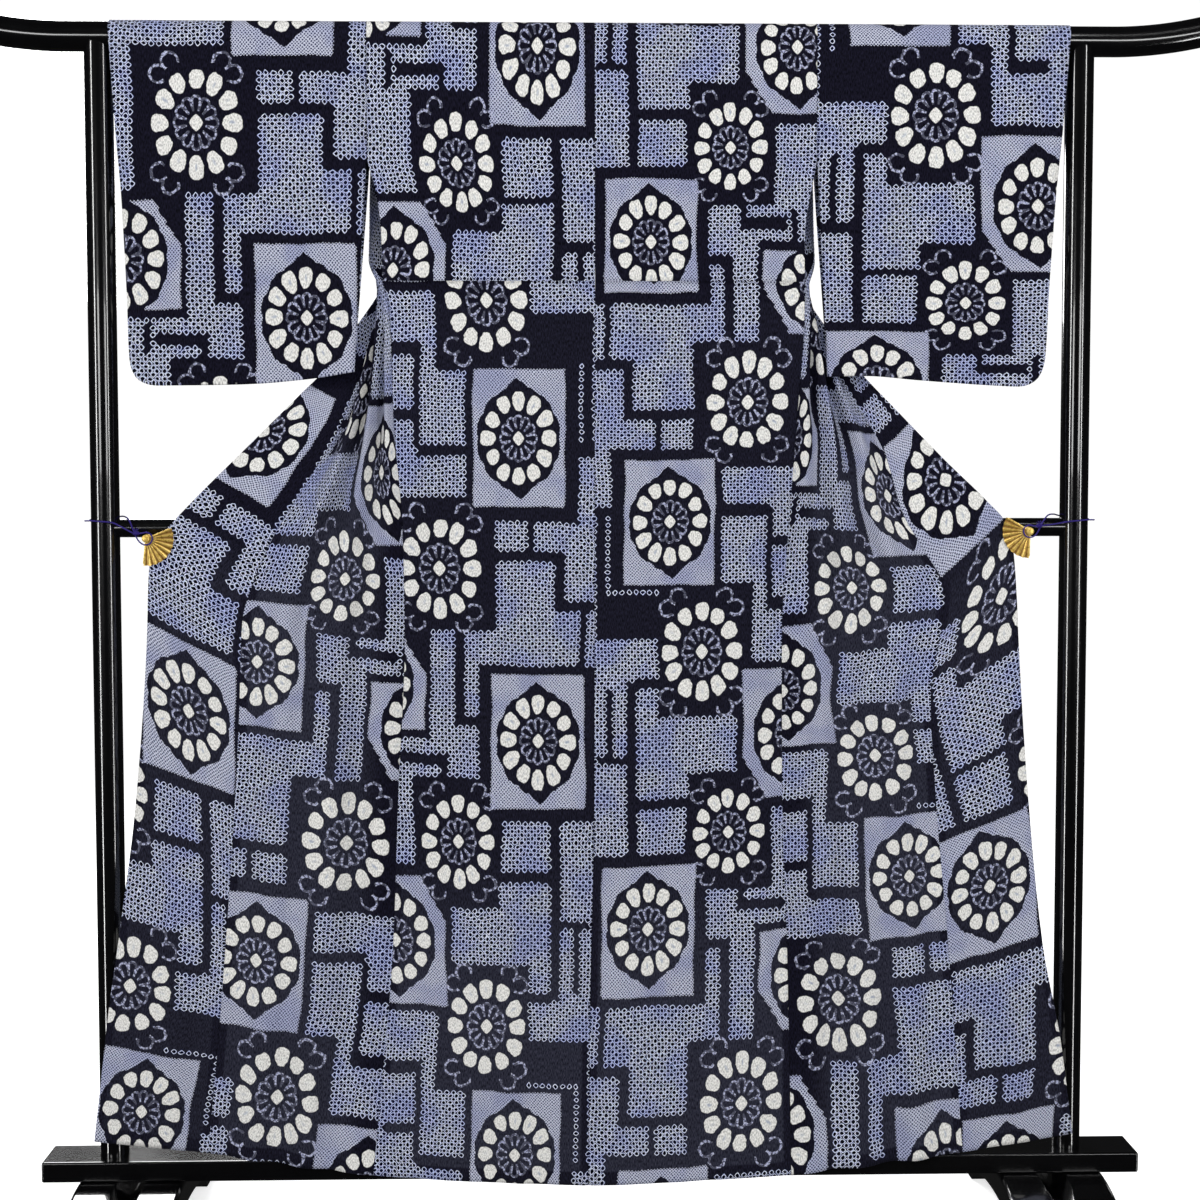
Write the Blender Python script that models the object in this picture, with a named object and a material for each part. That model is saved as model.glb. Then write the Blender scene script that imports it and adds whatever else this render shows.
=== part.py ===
"""A yukata hung by its back on a black lacquered kimono stand.

Metres, +Z up, origin on the floor under the middle of the stand. The garment's back faces -Y.
Left and right are the viewer's, who looks at the back. "Fall" is the distance down from the rod's top.
"""
import math

import bmesh
import bpy
import numpy as np

# Stand
ROD_RADIUS = 0.020
ROD_HEIGHT = 1.612
ROD_HALF = 0.880
ROD_BEND_START = 0.700
ROD_BEND = 0.90
UPRIGHT_RADIUS = 0.019
UPRIGHT_X = 0.658
CROSSBAR_RADIUS = 0.0125
CROSSBAR_HEIGHT = 0.958
BOARD_HALF = 0.750
BOARD_DEPTH = 0.070
BOARD_TOP = 0.098
BOARD_THICK = 0.028
FOOT_X = 0.629
FOOT_WIDTH = 0.144
FOOT_HALF = 0.190
FOOT_TIP_HEIGHT = 0.022
FOOT_SLOPE = 1.6
FOOT_ARCH = 0.034
FOOT_PAD = 0.060
FOOT_STATIONS = (0.0, 0.09, 0.184, 0.28, 0.38, 0.50, 0.60, 0.684, 0.76, 0.88, 1.0)
GROOVE_DEPTH = 0.020
GROOVE_WIDTH = 0.040
BOARD_EDGE = 0.003
FOOT_EDGE = 0.004
ROUND_SIDES = 18
CUTTER_SIDES = 32
CLEAR = 0.0003

# Cloth
CLOTH = 0.0012
COLLAR_CLOTH = 0.0016
SEAM = 0.0003
WRAP_RADIUS = ROD_RADIUS + CLEAR + CLOTH / 2
WRAP_ARC = WRAP_RADIUS * math.pi / 2
CLOTH_TOP = ROD_HEIGHT + WRAP_RADIUS
SHOULDER_FALL = 0.0450
ARMPIT_FALL = 0.357
HEM_FALL = 1.555
TUCK_FALL = 0.357
TUCK_LIP = 0.0022
PLEATS = 3

# Clips and cords
CLIP_REACH = 0.037
CLIP_PLEATS = 9
CLIP_THICK = 0.0010
CLIP_RELIEF = 0.0011
CLIP_INNER = 0.005
CLIP_GRIP = 0.0066
KNOB_RADIUS = 0.0062
KNOB_PROUD = 0.0070
KNOB_SIDES = 14
JAW_RADIUS = 0.0165
JAW_REACH = 0.0145
JAW_SIDES = 20
CORD_RADIUS = 0.0011
CORD_POINTS = 38
CORD_FREE_X = 0.640
CORD_BLEND = 0.034

SIDES = {"left": -1.0, "right": 1.0}


def table(columns, rows):
    """Named columns of a short table."""
    return dict(zip(columns.split(), np.array(rows).T))


# Edge of the back panels, and the side seam below the armpit
SIDE_EDGE = table("fall left right depth", (
    (0.000, 0.3000, 0.3000, -0.0209),
    (0.190, 0.3000, 0.3000, -0.0210),
    (0.240, 0.2885, 0.2920, -0.0205),
    (0.290, 0.2825, 0.2850, -0.0190),
    (0.357, 0.2805, 0.2845, -0.0180),
    (0.385, 0.2720, 0.2850, -0.0185),
    (0.540, 0.2670, 0.2750, -0.0200),
    (0.690, 0.2560, 0.2640, -0.0205),
    (0.820, 0.2540, 0.2560, -0.0210),
    (1.040, 0.2640, 0.2570, -0.0240),
    (1.245, 0.2720, 0.2640, -0.0290),
    (1.490, 0.2940, 0.2690, -0.0380),
    (1.555, 0.3000, 0.2700, -0.0400),
))

# Centre seam of the back; x is to the right
CENTRE_SEAM = table("fall x depth", (
    (0.000, 0.003, -0.0209),
    (0.350, 0.003, -0.0235),
    (0.700, 0.002, -0.0300),
    (1.040, 0.001, -0.0350),
    (1.320, -0.005, -0.0385),
    (1.570, -0.008, -0.0410),
))

# Edge of the front panels from the shoulder, behind the rod, forward to the armpit
FRONT_ARMHOLE = table("fall left right depth", (
    (0.045, 0.3000, 0.3000, 0.0209),
    (0.190, 0.3000, 0.3000, 0.0210),
    (0.250, 0.3010, 0.3010, 0.0180),
    (0.320, 0.3010, 0.3010, 0.0030),
    (0.357, 0.2822, 0.2862, -0.0172),
))

# Okumi seam: front panel to okumi; above the okumi it is the front's edge along the collar
OKUMI_SEAM_LEFT = table("fall x height depth", (
    (0.045, 0.090, 1.5995, 0.0209),
    (0.100, 0.133, 1.5350, 0.0225),
    (0.150, 0.174, 1.4700, 0.0260),
    (0.200, 0.213, 1.4050, 0.0320),
    (0.300, 0.252, 1.3150, 0.0450),
    (0.360, 0.277, 1.2600, 0.0430),
    (0.420, 0.300, 1.2030, 0.0270),
    (0.494, 0.326, 1.1350, 0.0030),
    (0.533, 0.339, 1.0980, -0.0060),
    (0.620, 0.382, 1.0220, -0.0220),
    (0.719, 0.432, 0.9380, -0.0320),
    (0.777, 0.455, 0.8850, -0.0330),
    (0.828, 0.470, 0.8340, -0.0330),
    (0.964, 0.476, 0.7000, -0.0340),
    (1.141, 0.487, 0.5240, -0.0360),
    (1.380, 0.506, 0.2850, -0.0390),
    (1.555, 0.523, 0.1120, -0.0410),
))
OKUMI_SEAM_RIGHT = table("fall x height depth", (
    (0.045, 0.090, 1.5995, 0.0209),
    (0.100, 0.133, 1.5350, 0.0225),
    (0.150, 0.174, 1.4700, 0.0260),
    (0.200, 0.213, 1.4050, 0.0320),
    (0.300, 0.252, 1.3150, 0.0450),
    (0.360, 0.280, 1.2600, 0.0430),
    (0.420, 0.312, 1.2030, 0.0270),
    (0.500, 0.358, 1.1280, 0.0030),
    (0.577, 0.396, 1.0570, -0.0120),
    (0.657, 0.417, 0.9800, -0.0260),
    (0.704, 0.440, 0.9370, -0.0310),
    (0.781, 0.475, 0.8680, -0.0340),
    (0.843, 0.467, 0.8090, -0.0400),
    (0.920, 0.456, 0.7330, -0.0390),
    (1.067, 0.465, 0.5870, -0.0360),
    (1.264, 0.483, 0.3910, -0.0380),
    (1.555, 0.505, 0.1030, -0.0410),
))

# Outer edge of the okumi: along the collar down to the clip, then the free front edge
OUTER_EDGE_LEFT = table("fall x height depth", (
    (0.200, 0.213, 1.4070, 0.0320),
    (0.300, 0.262, 1.3270, 0.0470),
    (0.360, 0.293, 1.2770, 0.0480),
    (0.420, 0.330, 1.2210, 0.0340),
    (0.480, 0.366, 1.1690, 0.0160),
    (0.533, 0.398, 1.1350, 0.0040),
    (0.620, 0.463, 1.0680, -0.0130),
    (0.720, 0.534, 0.9960, -0.0255),
    (0.760, 0.562, 0.9660, -0.0285),
    (0.800, 0.588, 0.9350, -0.0300),
    (0.830, 0.594, 0.9020, -0.0305),
    (0.921, 0.598, 0.8060, -0.0315),
    (1.119, 0.615, 0.5930, -0.0335),
    (1.285, 0.639, 0.4160, -0.0350),
    (1.399, 0.657, 0.2950, -0.0360),
    (1.478, 0.667, 0.2100, -0.0370),
    (1.555, 0.677, 0.1280, -0.0380),
))
OUTER_EDGE_RIGHT = table("fall x height depth", (
    (0.200, 0.213, 1.4070, 0.0320),
    (0.300, 0.262, 1.3270, 0.0470),
    (0.360, 0.294, 1.2770, 0.0480),
    (0.420, 0.331, 1.2190, 0.0340),
    (0.480, 0.367, 1.1690, 0.0160),
    (0.545, 0.414, 1.1170, 0.0020),
    (0.640, 0.478, 1.0480, -0.0160),
    (0.720, 0.534, 0.9920, -0.0265),
    (0.760, 0.556, 0.9670, -0.0290),
    (0.800, 0.567, 0.9350, -0.0300),
    (0.860, 0.573, 0.8700, -0.0310),
    (0.940, 0.577, 0.7920, -0.0320),
    (1.119, 0.592, 0.5870, -0.0335),
    (1.300, 0.613, 0.3940, -0.0350),
    (1.430, 0.640, 0.2530, -0.0365),
    (1.555, 0.657, 0.1270, -0.0380),
))

# Gathers that fan out from each armpit across the front panel, and how far the panel bellies forward
GATHERS = table("fall height belly", (
    (0.045, 0.0000, 0.000),
    (0.150, 0.0030, 0.000),
    (0.250, 0.0085, 0.000),
    (0.330, 0.0110, 0.000),
    (0.450, 0.0115, 0.000),
    (0.550, 0.0110, 0.003),
    (0.650, 0.0095, 0.008),
    (0.750, 0.0085, 0.010),
    (0.900, 0.0070, 0.009),
    (1.200, 0.0065, 0.007),
    (1.555, 0.0055, 0.003),
))

# Soft upright folds of the back. Across: 0 at the centre seam, 1 at the side
BACK_FOLDS = table("side across width height start peak end", (
    (-1, 0.24, 0.040, 0.0045, 0.36, 0.95, 1.80),
    (-1, 0.58, 0.032, 0.0065, 0.36, 0.75, 1.75),
    (-1, 0.84, 0.022, 0.0080, 0.37, 0.62, 1.60),
    (1, 0.16, 0.034, 0.0055, 0.36, 1.05, 1.85),
    (1, 0.50, 0.040, 0.0050, 0.36, 0.80, 1.70),
    (1, 0.82, 0.024, 0.0085, 0.37, 0.66, 1.65),
))

# Height of the back's hem over the floor
BACK_HEM = table("x height", (
    (-0.300, 0.0785),
    (-0.177, 0.0695),
    (-0.090, 0.0660),
    (-0.008, 0.0620),
    (0.119, 0.0655),
    (0.270, 0.0735),
))

# Collar seam at the neck, mirrored for the other side
NECK_SEAM = table("x height depth", (
    (0.000, 1.5997, 0.0210),
    (0.050, 1.5997, 0.0210),
    (0.089, 1.5990, 0.0211),
    (0.133, 1.5350, 0.0229),
    (0.174, 1.4700, 0.0268),
))
COLLAR_WIDTH = table("along width behind drift", (
    (0.00, 0.055, 0.0000, 0.000),
    (0.12, 0.055, 0.0004, 0.001),
    (0.24, 0.057, 0.0034, 0.003),
    (0.55, 0.062, 0.0030, 0.006),
    (0.80, 0.068, 0.0022, 0.003),
    (1.00, 0.072, 0.0019, 0.001),
))

# Seam round the sleeve from the lower inner corner to the foot of the cuff opening
SLEEVE_SEAM_LEFT = table("along x height", (
    (0.00, 0.3200, 1.1700),
    (0.14, 0.3750, 1.1610),
    (0.28, 0.4510, 1.1540),
    (0.42, 0.5200, 1.1520),
    (0.52, 0.5850, 1.1515),
    (0.58, 0.6090, 1.1600),
    (0.64, 0.6190, 1.1840),
    (0.80, 0.6215, 1.2700),
    (1.00, 0.6270, 1.3980),
))
SLEEVE_SEAM_RIGHT = table("along x height", (
    (0.00, 0.3170, 1.1640),
    (0.14, 0.3710, 1.1650),
    (0.28, 0.4450, 1.1590),
    (0.42, 0.5150, 1.1540),
    (0.52, 0.5780, 1.1510),
    (0.58, 0.6010, 1.1600),
    (0.64, 0.6120, 1.1860),
    (0.80, 0.6165, 1.2800),
    (1.00, 0.6240, 1.3980),
))
SLEEVE_TOP_INNER = 0.3003
SLEEVE_TOP_OUTER = 0.6420
SLEEVE_JOINED_FALL = 0.190
SLEEVE_LEAN = -0.0110
SLEEVE_FOLD_RADIUS = 0.0022

SEAM_EASE = table("fall gap", (
    (0.045, 0.0010),
    (0.245, 0.0018),
    (0.420, 0.0014),
    (0.600, 0.0009),
    (0.900, 0.0006),
    (1.555, 0.0004),
))

# Fan clips. Pivot and the directions of the first and last rib, in degrees from +X
CLIP_PLACES = {
    "left": {"pivot": (-0.5965, -0.0286, 0.9445), "first": 24.0, "last": -84.0},
    "right": {"pivot": (0.5890, -0.0286, 0.9530), "first": 138.0, "last": 278.0},
}

# Tie cord of the right side: free end, in front of the upright, round the clip's knob, behind the
# upright, free end
CORD_ROUTE = (
    (0.6820, -0.0175, 0.9680),
    (0.6700, -0.0215, 0.9680),
    (0.6580, -0.0228, 0.9670),
    (0.6430, -0.0232, 0.9655),
    (0.6250, -0.0265, 0.9625),
    (0.6070, -0.0325, 0.9605),
    (0.5960, -0.0350, 0.9600),
    (0.5880, -0.0352, 0.9612),
    (0.5820, -0.0352, 0.9580),
    (0.5805, -0.0352, 0.9520),
    (0.5840, -0.0352, 0.9462),
    (0.5910, -0.0352, 0.9448),
    (0.5975, -0.0345, 0.9485),
    (0.6030, -0.0310, 0.9560),
    (0.6100, -0.0225, 0.9655),
    (0.6200, -0.0090, 0.9740),
    (0.6320, 0.0070, 0.9755),
    (0.6430, 0.0180, 0.9735),
    (0.6580, 0.0222, 0.9710),
    (0.6720, 0.0185, 0.9700),
    (0.6820, 0.0095, 0.9690),
)

# Rows of the walls. Panels that share a seam share its rows
WRAP_STEPS = 3
WRAP_FALLS = tuple(WRAP_ARC * k / WRAP_STEPS for k in range(WRAP_STEPS + 1))
UPPER_FALLS = (0.245, 0.272, 0.300, 0.328)
MIDDLE_FALLS = (0.380, 0.405, 0.430, 0.460, 0.494, 0.533, 0.575, 0.620, 0.670, 0.720, 0.760)
LOWER_FALLS = (0.800, 0.860, 0.940, 1.030, 1.130, 1.250, 1.380, 1.475, HEM_FALL)
SEAM_FALLS = (ARMPIT_FALL, *MIDDLE_FALLS, *LOWER_FALLS)
BACK_FALLS = (-SHOULDER_FALL, *(-fall for fall in WRAP_FALLS[:0:-1]), *WRAP_FALLS, 0.110, 0.190, 0.240, 0.290,
              0.325, 0.353, TUCK_FALL, 0.361, *SEAM_FALLS[1:])
FRONT_FALLS = (SHOULDER_FALL, 0.095, 0.145, 0.200, *UPPER_FALLS, *SEAM_FALLS)
OKUMI_FALLS = (*UPPER_FALLS, *SEAM_FALLS)
COLLAR_FALLS = (0.200, *UPPER_FALLS, ARMPIT_FALL, *MIDDLE_FALLS, 0.797)

# Stations round and along the sleeve bag
FRONT_LAYER, REAR_LAYER = -1.0, 1.0
SLEEVE_LEGS = (0.14, 0.28, 0.42, 0.56, 0.70, 0.85, 1.0)
SLEEVE_DOWN = ([(k / WRAP_STEPS, 0.0, 0.0) for k in range(WRAP_STEPS + 1)]
               + [(1.0, leg, 0.0) for leg in SLEEVE_LEGS] + [(1.0, 1.0, 0.5), (1.0, 1.0, 1.0)])
SLEEVE_RING = ([(FRONT_LAYER, *step) for step in SLEEVE_DOWN]
               + [(REAR_LAYER, *step) for step in SLEEVE_DOWN[-2::-1]])
SLEEVE_ALONG = (0.0, 0.08, 0.17, 0.26, 0.35, 0.43, 0.50, 0.55, 0.59, 0.64, 0.72, 0.81, 0.90, 1.0)


def read(columns, key, by, value):
    """Smooth monotone reading of a table column at a value of another column."""
    xs, ys = columns[by], columns[key]
    step = np.diff(xs)
    slope = np.diff(ys) / step
    tangent = np.empty_like(ys)
    tangent[0], tangent[-1] = slope[0], slope[-1]
    for k in range(1, len(xs) - 1):
        before, after = slope[k - 1], slope[k]
        if before * after <= 0:
            tangent[k] = 0.0
        else:
            near, far = 2 * step[k] + step[k - 1], step[k] + 2 * step[k - 1]
            tangent[k] = (near + far) / (near / before + far / after)
    value = min(max(value, xs[0]), xs[-1])
    k = min(int(np.searchsorted(xs, value, side="right")) - 1, len(xs) - 2)
    t = (value - xs[k]) / step[k]
    return float((2 * t**3 - 3 * t**2 + 1) * ys[k] + (t**3 - 2 * t**2 + t) * step[k] * tangent[k]
                 + (3 * t**2 - 2 * t**3) * ys[k + 1] + (t**3 - t**2) * step[k] * tangent[k + 1])


def ease(t):
    """Soft step from 0 to 1."""
    t = min(max(t, 0.0), 1.0)
    return t * t * (3 - 2 * t)


def over_rod(fall):
    """Depth and height of cloth that runs over the rod's top and straight down in front."""
    if fall < WRAP_ARC:
        turn = fall / WRAP_RADIUS
        depth, height = WRAP_RADIUS * math.sin(turn), ROD_HEIGHT + WRAP_RADIUS * math.cos(turn)
    else:
        depth, height = WRAP_RADIUS, ROD_HEIGHT + WRAP_ARC - fall
    return -depth, height


def back_folds(side, across, fall, width):
    """How far the upright folds of a back panel stand forward."""
    total = 0.0
    for k, fold_side in enumerate(BACK_FOLDS["side"]):
        if fold_side != side:
            continue
        fold = {name: column[k] for name, column in BACK_FOLDS.items()}
        away = (across - fold["across"]) * width / fold["width"]
        grow = ease((fall - fold["start"]) / (fold["peak"] - fold["start"]))
        fade = ease((fold["end"] - fall) / (fold["end"] - fold["peak"]))
        total += fold["height"] * grow * fade * math.exp(-away * away)
    return total


def back_point(name, across, fall):
    """Point of a back panel. Across: 0 at the centre seam, 1 at the side."""
    side = SIDES[name]
    centre = read(CENTRE_SEAM, "x", "fall", fall) + side * SEAM / 2
    edge = side * read(SIDE_EDGE, name, "fall", fall)
    x = centre + (edge - centre) * across
    if fall < WRAP_ARC:
        depth, height = over_rod(abs(fall))
        return x, depth if fall > 0 else -depth, height
    middle = read(CENTRE_SEAM, "depth", "fall", fall)
    outer = read(SIDE_EDGE, "depth", "fall", fall)
    depth = middle + (outer - middle) * across**3
    depth -= back_folds(side, across, fall, abs(edge - centre))
    lip = ease((fall - TUCK_FALL + 0.060) / 0.060) if fall <= TUCK_FALL + 1e-6 else 0.0
    depth -= TUCK_LIP * lip
    height = ROD_HEIGHT + WRAP_ARC - fall
    if fall > TUCK_FALL:
        tuck_height = ROD_HEIGHT + WRAP_ARC - TUCK_FALL
        hem = read(BACK_HEM, "height", "x", x)
        height = tuck_height + (hem - tuck_height) * (fall - TUCK_FALL) / (HEM_FALL - TUCK_FALL)
    return x, depth, height


def front_edge(name, fall):
    """Edge of a front panel at the armhole and along the side seam."""
    side = SIDES[name]
    if fall <= ARMPIT_FALL:
        height = ROD_HEIGHT + WRAP_ARC - fall - SEAM
        return np.array((side * read(FRONT_ARMHOLE, name, "fall", fall),
                         read(FRONT_ARMHOLE, "depth", "fall", fall), height))
    x, depth, height = back_point(name, 1.0, fall)
    return np.array((x + side * read(SEAM_EASE, "gap", "fall", fall), depth, height))


def long_edge(columns, side, fall):
    """Point of an okumi seam or of an outer edge."""
    return np.array((side * read(columns, "x", "fall", fall), read(columns, "depth", "fall", fall),
                     read(columns, "height", "fall", fall)))


def okumi_seam(name, fall):
    return long_edge(OKUMI_SEAM_LEFT if name == "left" else OKUMI_SEAM_RIGHT, SIDES[name], fall)


def outer_edge(name, fall):
    return long_edge(OUTER_EDGE_LEFT if name == "left" else OUTER_EDGE_RIGHT, SIDES[name], fall)


def front_point(name, across, fall):
    """Point of a front panel. Across: 0 at the armhole and side seam, 1 at the okumi seam."""
    near, far = front_edge(name, fall), okumi_seam(name, fall)
    run = far - near
    flat = math.hypot(run[0], run[1])
    out = SIDES[name] * np.array((run[1], -run[0], 0.0)) / flat
    wave = math.sin(2 * math.pi * PLEATS * across) * (1 - (2 * across - 1)**4)
    lift = read(GATHERS, "height", "fall", fall) * wave
    lift += read(GATHERS, "belly", "fall", fall) * 4 * across * (1 - across)
    return tuple(near + run * across + out * lift)


def okumi_point(name, across, fall):
    """Point of an okumi. Across: 0 at the seam to the front, 1 at the outer edge."""
    near, far = okumi_seam(name, fall), outer_edge(name, fall)
    gap = read(SEAM_EASE, "gap", "fall", fall)
    start = min(gap / float(np.linalg.norm(far - near)), 0.3)
    return tuple(near + (far - near) * (start + (1 - start) * across))


def collar_root():
    """Points of the collar's seam from the left end, round the neck, to the right end."""
    half = {}
    for name, side in SIDES.items():
        points = [np.array((side * x, depth, height)) for x, height, depth in
                  zip(NECK_SEAM["x"][1:], NECK_SEAM["height"][1:], NECK_SEAM["depth"][1:])]
        points += [outer_edge(name, fall) for fall in COLLAR_FALLS]
        half[name] = points
    middle = np.array((0.0, NECK_SEAM["depth"][0], NECK_SEAM["height"][0]))
    return half["left"][::-1] + [middle] + half["right"], len(half["left"])


COLLAR_ROOT, COLLAR_MIDDLE = collar_root()


def collar_point(station, across):
    """Point of the collar. Station: index along the seam; across: 0 at the seam, 1 at the free edge."""
    last = len(COLLAR_ROOT) - 1
    root = COLLAR_ROOT[station]
    tangent = COLLAR_ROOT[min(station + 1, last)] - COLLAR_ROOT[max(station - 1, 0)]
    length = math.hypot(tangent[0], tangent[2])
    down = np.array((tangent[2], 0.0, -tangent[0])) / length
    along = abs(station - COLLAR_MIDDLE) / COLLAR_MIDDLE
    width = read(COLLAR_WIDTH, "width", "along", along)
    behind = read(COLLAR_WIDTH, "behind", "along", along)
    drift = read(COLLAR_WIDTH, "drift", "along", along)
    return tuple(root + down * (SEAM + (width - SEAM) * across) + np.array((0.0, behind + drift * across, 0.0)))


def sleeve_point(name, along, ring):
    """Point of a sleeve. Along: 0 at the body side, 1 at the cuff. Ring: where on the way round the bag,
    as front or rear layer, and the shares of the wrap, of the leg and of the turn at the seam."""
    side = SIDES[name]
    seam = SLEEVE_SEAM_LEFT if name == "left" else SLEEVE_SEAM_RIGHT
    layer, wrap, leg, turn = ring
    top_x = SLEEVE_TOP_INNER + (SLEEVE_TOP_OUTER - SLEEVE_TOP_INNER) * along
    foot_x, foot_height = read(seam, "x", "along", along), read(seam, "height", "along", along)
    length = ROD_HEIGHT + WRAP_ARC - foot_height
    fall = WRAP_ARC * wrap + (length - WRAP_ARC) * leg
    depth, height = over_rod(fall)
    joined = min(SLEEVE_JOINED_FALL, 0.55 * length)
    narrow = ease((fall - joined) / (length - joined))
    half = (-depth * (1 - narrow) + SLEEVE_FOLD_RADIUS * narrow) * math.cos(turn * math.pi / 2)
    out = np.array((foot_x - top_x, 0.0, -length))
    reach = SLEEVE_FOLD_RADIUS * math.sin(turn * math.pi / 2) * out / np.linalg.norm(out)
    inner = max(0.0, (fall - SLEEVE_JOINED_FALL) / (length - SLEEVE_JOINED_FALL)) if along == 0 else fall / length
    x = top_x + (foot_x - top_x) * inner + reach[0]
    return side * x, SLEEVE_LEAN * narrow + layer * half, height + reach[2]


def material(name, colour, roughness, metallic=0.0, coat=0.0):
    """Principled material."""
    made = bpy.data.materials.new(name)
    made.use_nodes = True
    shader = made.node_tree.nodes["Principled BSDF"]
    shader.inputs["Base Color"].default_value = (*colour, 1.0)
    shader.inputs["Roughness"].default_value = roughness
    shader.inputs["Metallic"].default_value = metallic
    shader.inputs["Coat Weight"].default_value = coat
    return made


def finish(mesh, name, look, location=(0.0, 0.0, 0.0)):
    """Object from a mesh, in the scene, with its material."""
    mesh.materials.append(look)
    mesh.shade_smooth()
    mesh.set_sharp_from_angle(angle=math.radians(35))
    made = bpy.data.objects.new(name, mesh)
    made.location = location
    bpy.context.scene.collection.objects.link(made)
    return made


def to_mesh(shape, name):
    mesh = bpy.data.meshes.new(name)
    shape.to_mesh(mesh)
    shape.free()
    return mesh


def sheet(name, firsts, seconds, point, look, thickness=CLOTH, closed=False):
    """Cloth wall: a grid whose vertices are moved to point(first, second), made thick evenly."""
    shape = bmesh.new()
    columns, rows = len(firsts) - 1, len(seconds) - 1
    bmesh.ops.create_grid(shape, x_segments=columns, y_segments=rows, size=0.5)
    for vertex in shape.verts:
        first = firsts[round((vertex.co.x + 0.5) * columns)]
        second = seconds[round((vertex.co.y + 0.5) * rows)]
        vertex.co = point(first, second)
    if closed:
        bmesh.ops.remove_doubles(shape, verts=shape.verts, dist=1e-6)
        bmesh.ops.recalc_face_normals(shape, faces=shape.faces)
    made = finish(to_mesh(shape, name), name, look)
    wall = made.modifiers.new("Wall", "SOLIDIFY")
    wall.thickness = thickness
    wall.offset = 0.0
    wall.use_even_offset = True
    wall.use_quality_normals = True
    return made


def even(count):
    """Evenly spaced values from 0 to 1."""
    return [k / count for k in range(count + 1)]


def garment():
    """All cut pieces of the yukata."""
    body = material("shibori_cotton", (0.20, 0.22, 0.42), 0.85)
    sleeves = material("shibori_cotton_sleeve", (0.22, 0.24, 0.45), 0.85)
    overlap = material("shibori_cotton_okumi", (0.17, 0.19, 0.38), 0.85)
    band = material("shibori_cotton_collar", (0.10, 0.11, 0.25), 0.85)
    for name in SIDES:
        sheet("back_" + name, even(12), BACK_FALLS, lambda a, f, n=name: back_point(n, a, f), body)
        sheet("front_" + name, even(18), FRONT_FALLS, lambda a, f, n=name: front_point(n, a, f), body)
        sheet("okumi_" + name, even(4), OKUMI_FALLS, lambda a, f, n=name: okumi_point(n, a, f), overlap)
        sheet("sleeve_" + name, SLEEVE_ALONG, SLEEVE_RING, lambda a, r, n=name: sleeve_point(n, a, r), sleeves,
              closed=True)
    sheet("collar", range(len(COLLAR_ROOT)), even(3), collar_point, band, COLLAR_CLOTH)


def tube(name, points, radius, look, sides=3):
    """Round bar along points, with filled ends."""
    curve = bpy.data.curves.new(name, "CURVE")
    curve.dimensions = "3D"
    curve.bevel_depth = radius
    curve.bevel_resolution = sides
    curve.use_fill_caps = True
    path = curve.splines.new("POLY")
    path.points.add(len(points) - 1)
    for spot, place in zip(path.points, points):
        spot.co = (*place, 1.0)
    curve.materials.append(look)
    made = bpy.data.objects.new(name, curve)
    bpy.context.scene.collection.objects.link(made)
    return made


def rod(look):
    """Rod whose ends curve up past the uprights."""
    def centre(x):
        past = max(abs(x) - ROD_BEND_START, 0.0)
        return x, 0.0, ROD_HEIGHT + ROD_BEND * past * past

    bend = [ROD_BEND_START + (ROD_HALF - ROD_BEND_START) * t for t in even(8)]
    tube("rod", [centre(-x) for x in reversed(bend)] + [centre(x) for x in bend], ROD_RADIUS, look, sides=4)


def cylinder(radius, length, axis_turn=None, sides=ROUND_SIDES):
    shape = bmesh.new()
    bmesh.ops.create_cone(shape, cap_ends=True, segments=sides, radius1=radius, radius2=radius, depth=length)
    if axis_turn is not None:
        turn = np.array(axis_turn)
        for vertex in shape.verts:
            vertex.co = turn @ np.array(vertex.co)
    return shape


ALONG_X = ((0, 0, 1), (0, 1, 0), (-1, 0, 0))
ALONG_Y = ((1, 0, 0), (0, 0, -1), (0, 1, 0))


def cut(made, cutter):
    """Boolean cut with a hidden cutter."""
    cutter.hide_render = True
    cutter.display_type = "WIRE"
    step = made.modifiers.new("Cut", "BOOLEAN")
    step.operation = "DIFFERENCE"
    step.object = cutter


def uprights(look):
    """Posts on the board, coped round the rod."""
    room = cylinder(ROD_RADIUS + 2 * CLEAR, 2 * ROD_BEND_START, ALONG_X, CUTTER_SIDES)
    rod_cutter = finish(to_mesh(room, "rod_clearance"), "rod_clearance", look, (0.0, 0.0, ROD_HEIGHT))
    length = ROD_HEIGHT - BOARD_TOP - CLEAR
    for name, side in SIDES.items():
        made = finish(to_mesh(cylinder(UPRIGHT_RADIUS, length), "upright_" + name), "upright_" + name, look,
                      (side * UPRIGHT_X, 0.0, BOARD_TOP + CLEAR + length / 2))
        cut(made, rod_cutter)


def crossbar(look):
    """Bar between the uprights, its ends shaped to the posts."""
    bar = cylinder(CROSSBAR_RADIUS, 2 * UPRIGHT_X - UPRIGHT_RADIUS, ALONG_X)
    made = finish(to_mesh(bar, "crossbar"), "crossbar", look, (0.0, 0.0, CROSSBAR_HEIGHT))
    for name, side in SIDES.items():
        room = cylinder(UPRIGHT_RADIUS + CLEAR, 6 * CROSSBAR_RADIUS, sides=CUTTER_SIDES)
        cutter = finish(to_mesh(room, "post_clearance_" + name), "post_clearance_" + name, look,
                        (side * UPRIGHT_X, 0.0, CROSSBAR_HEIGHT))
        cut(made, cutter)


def board(look):
    """Long base board with softened edges."""
    shape = bmesh.new()
    bmesh.ops.create_cube(shape, size=1.0)
    bmesh.ops.scale(shape, vec=(2 * BOARD_HALF, BOARD_DEPTH, BOARD_THICK), verts=shape.verts)
    bmesh.ops.bevel(shape, geom=shape.edges[:], offset=BOARD_EDGE, segments=2, profile=0.5, affect="EDGES",
                    material=-1)
    finish(to_mesh(shape, "board"), "board", look, (0.0, 0.0, BOARD_TOP - BOARD_THICK / 2))


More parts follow.
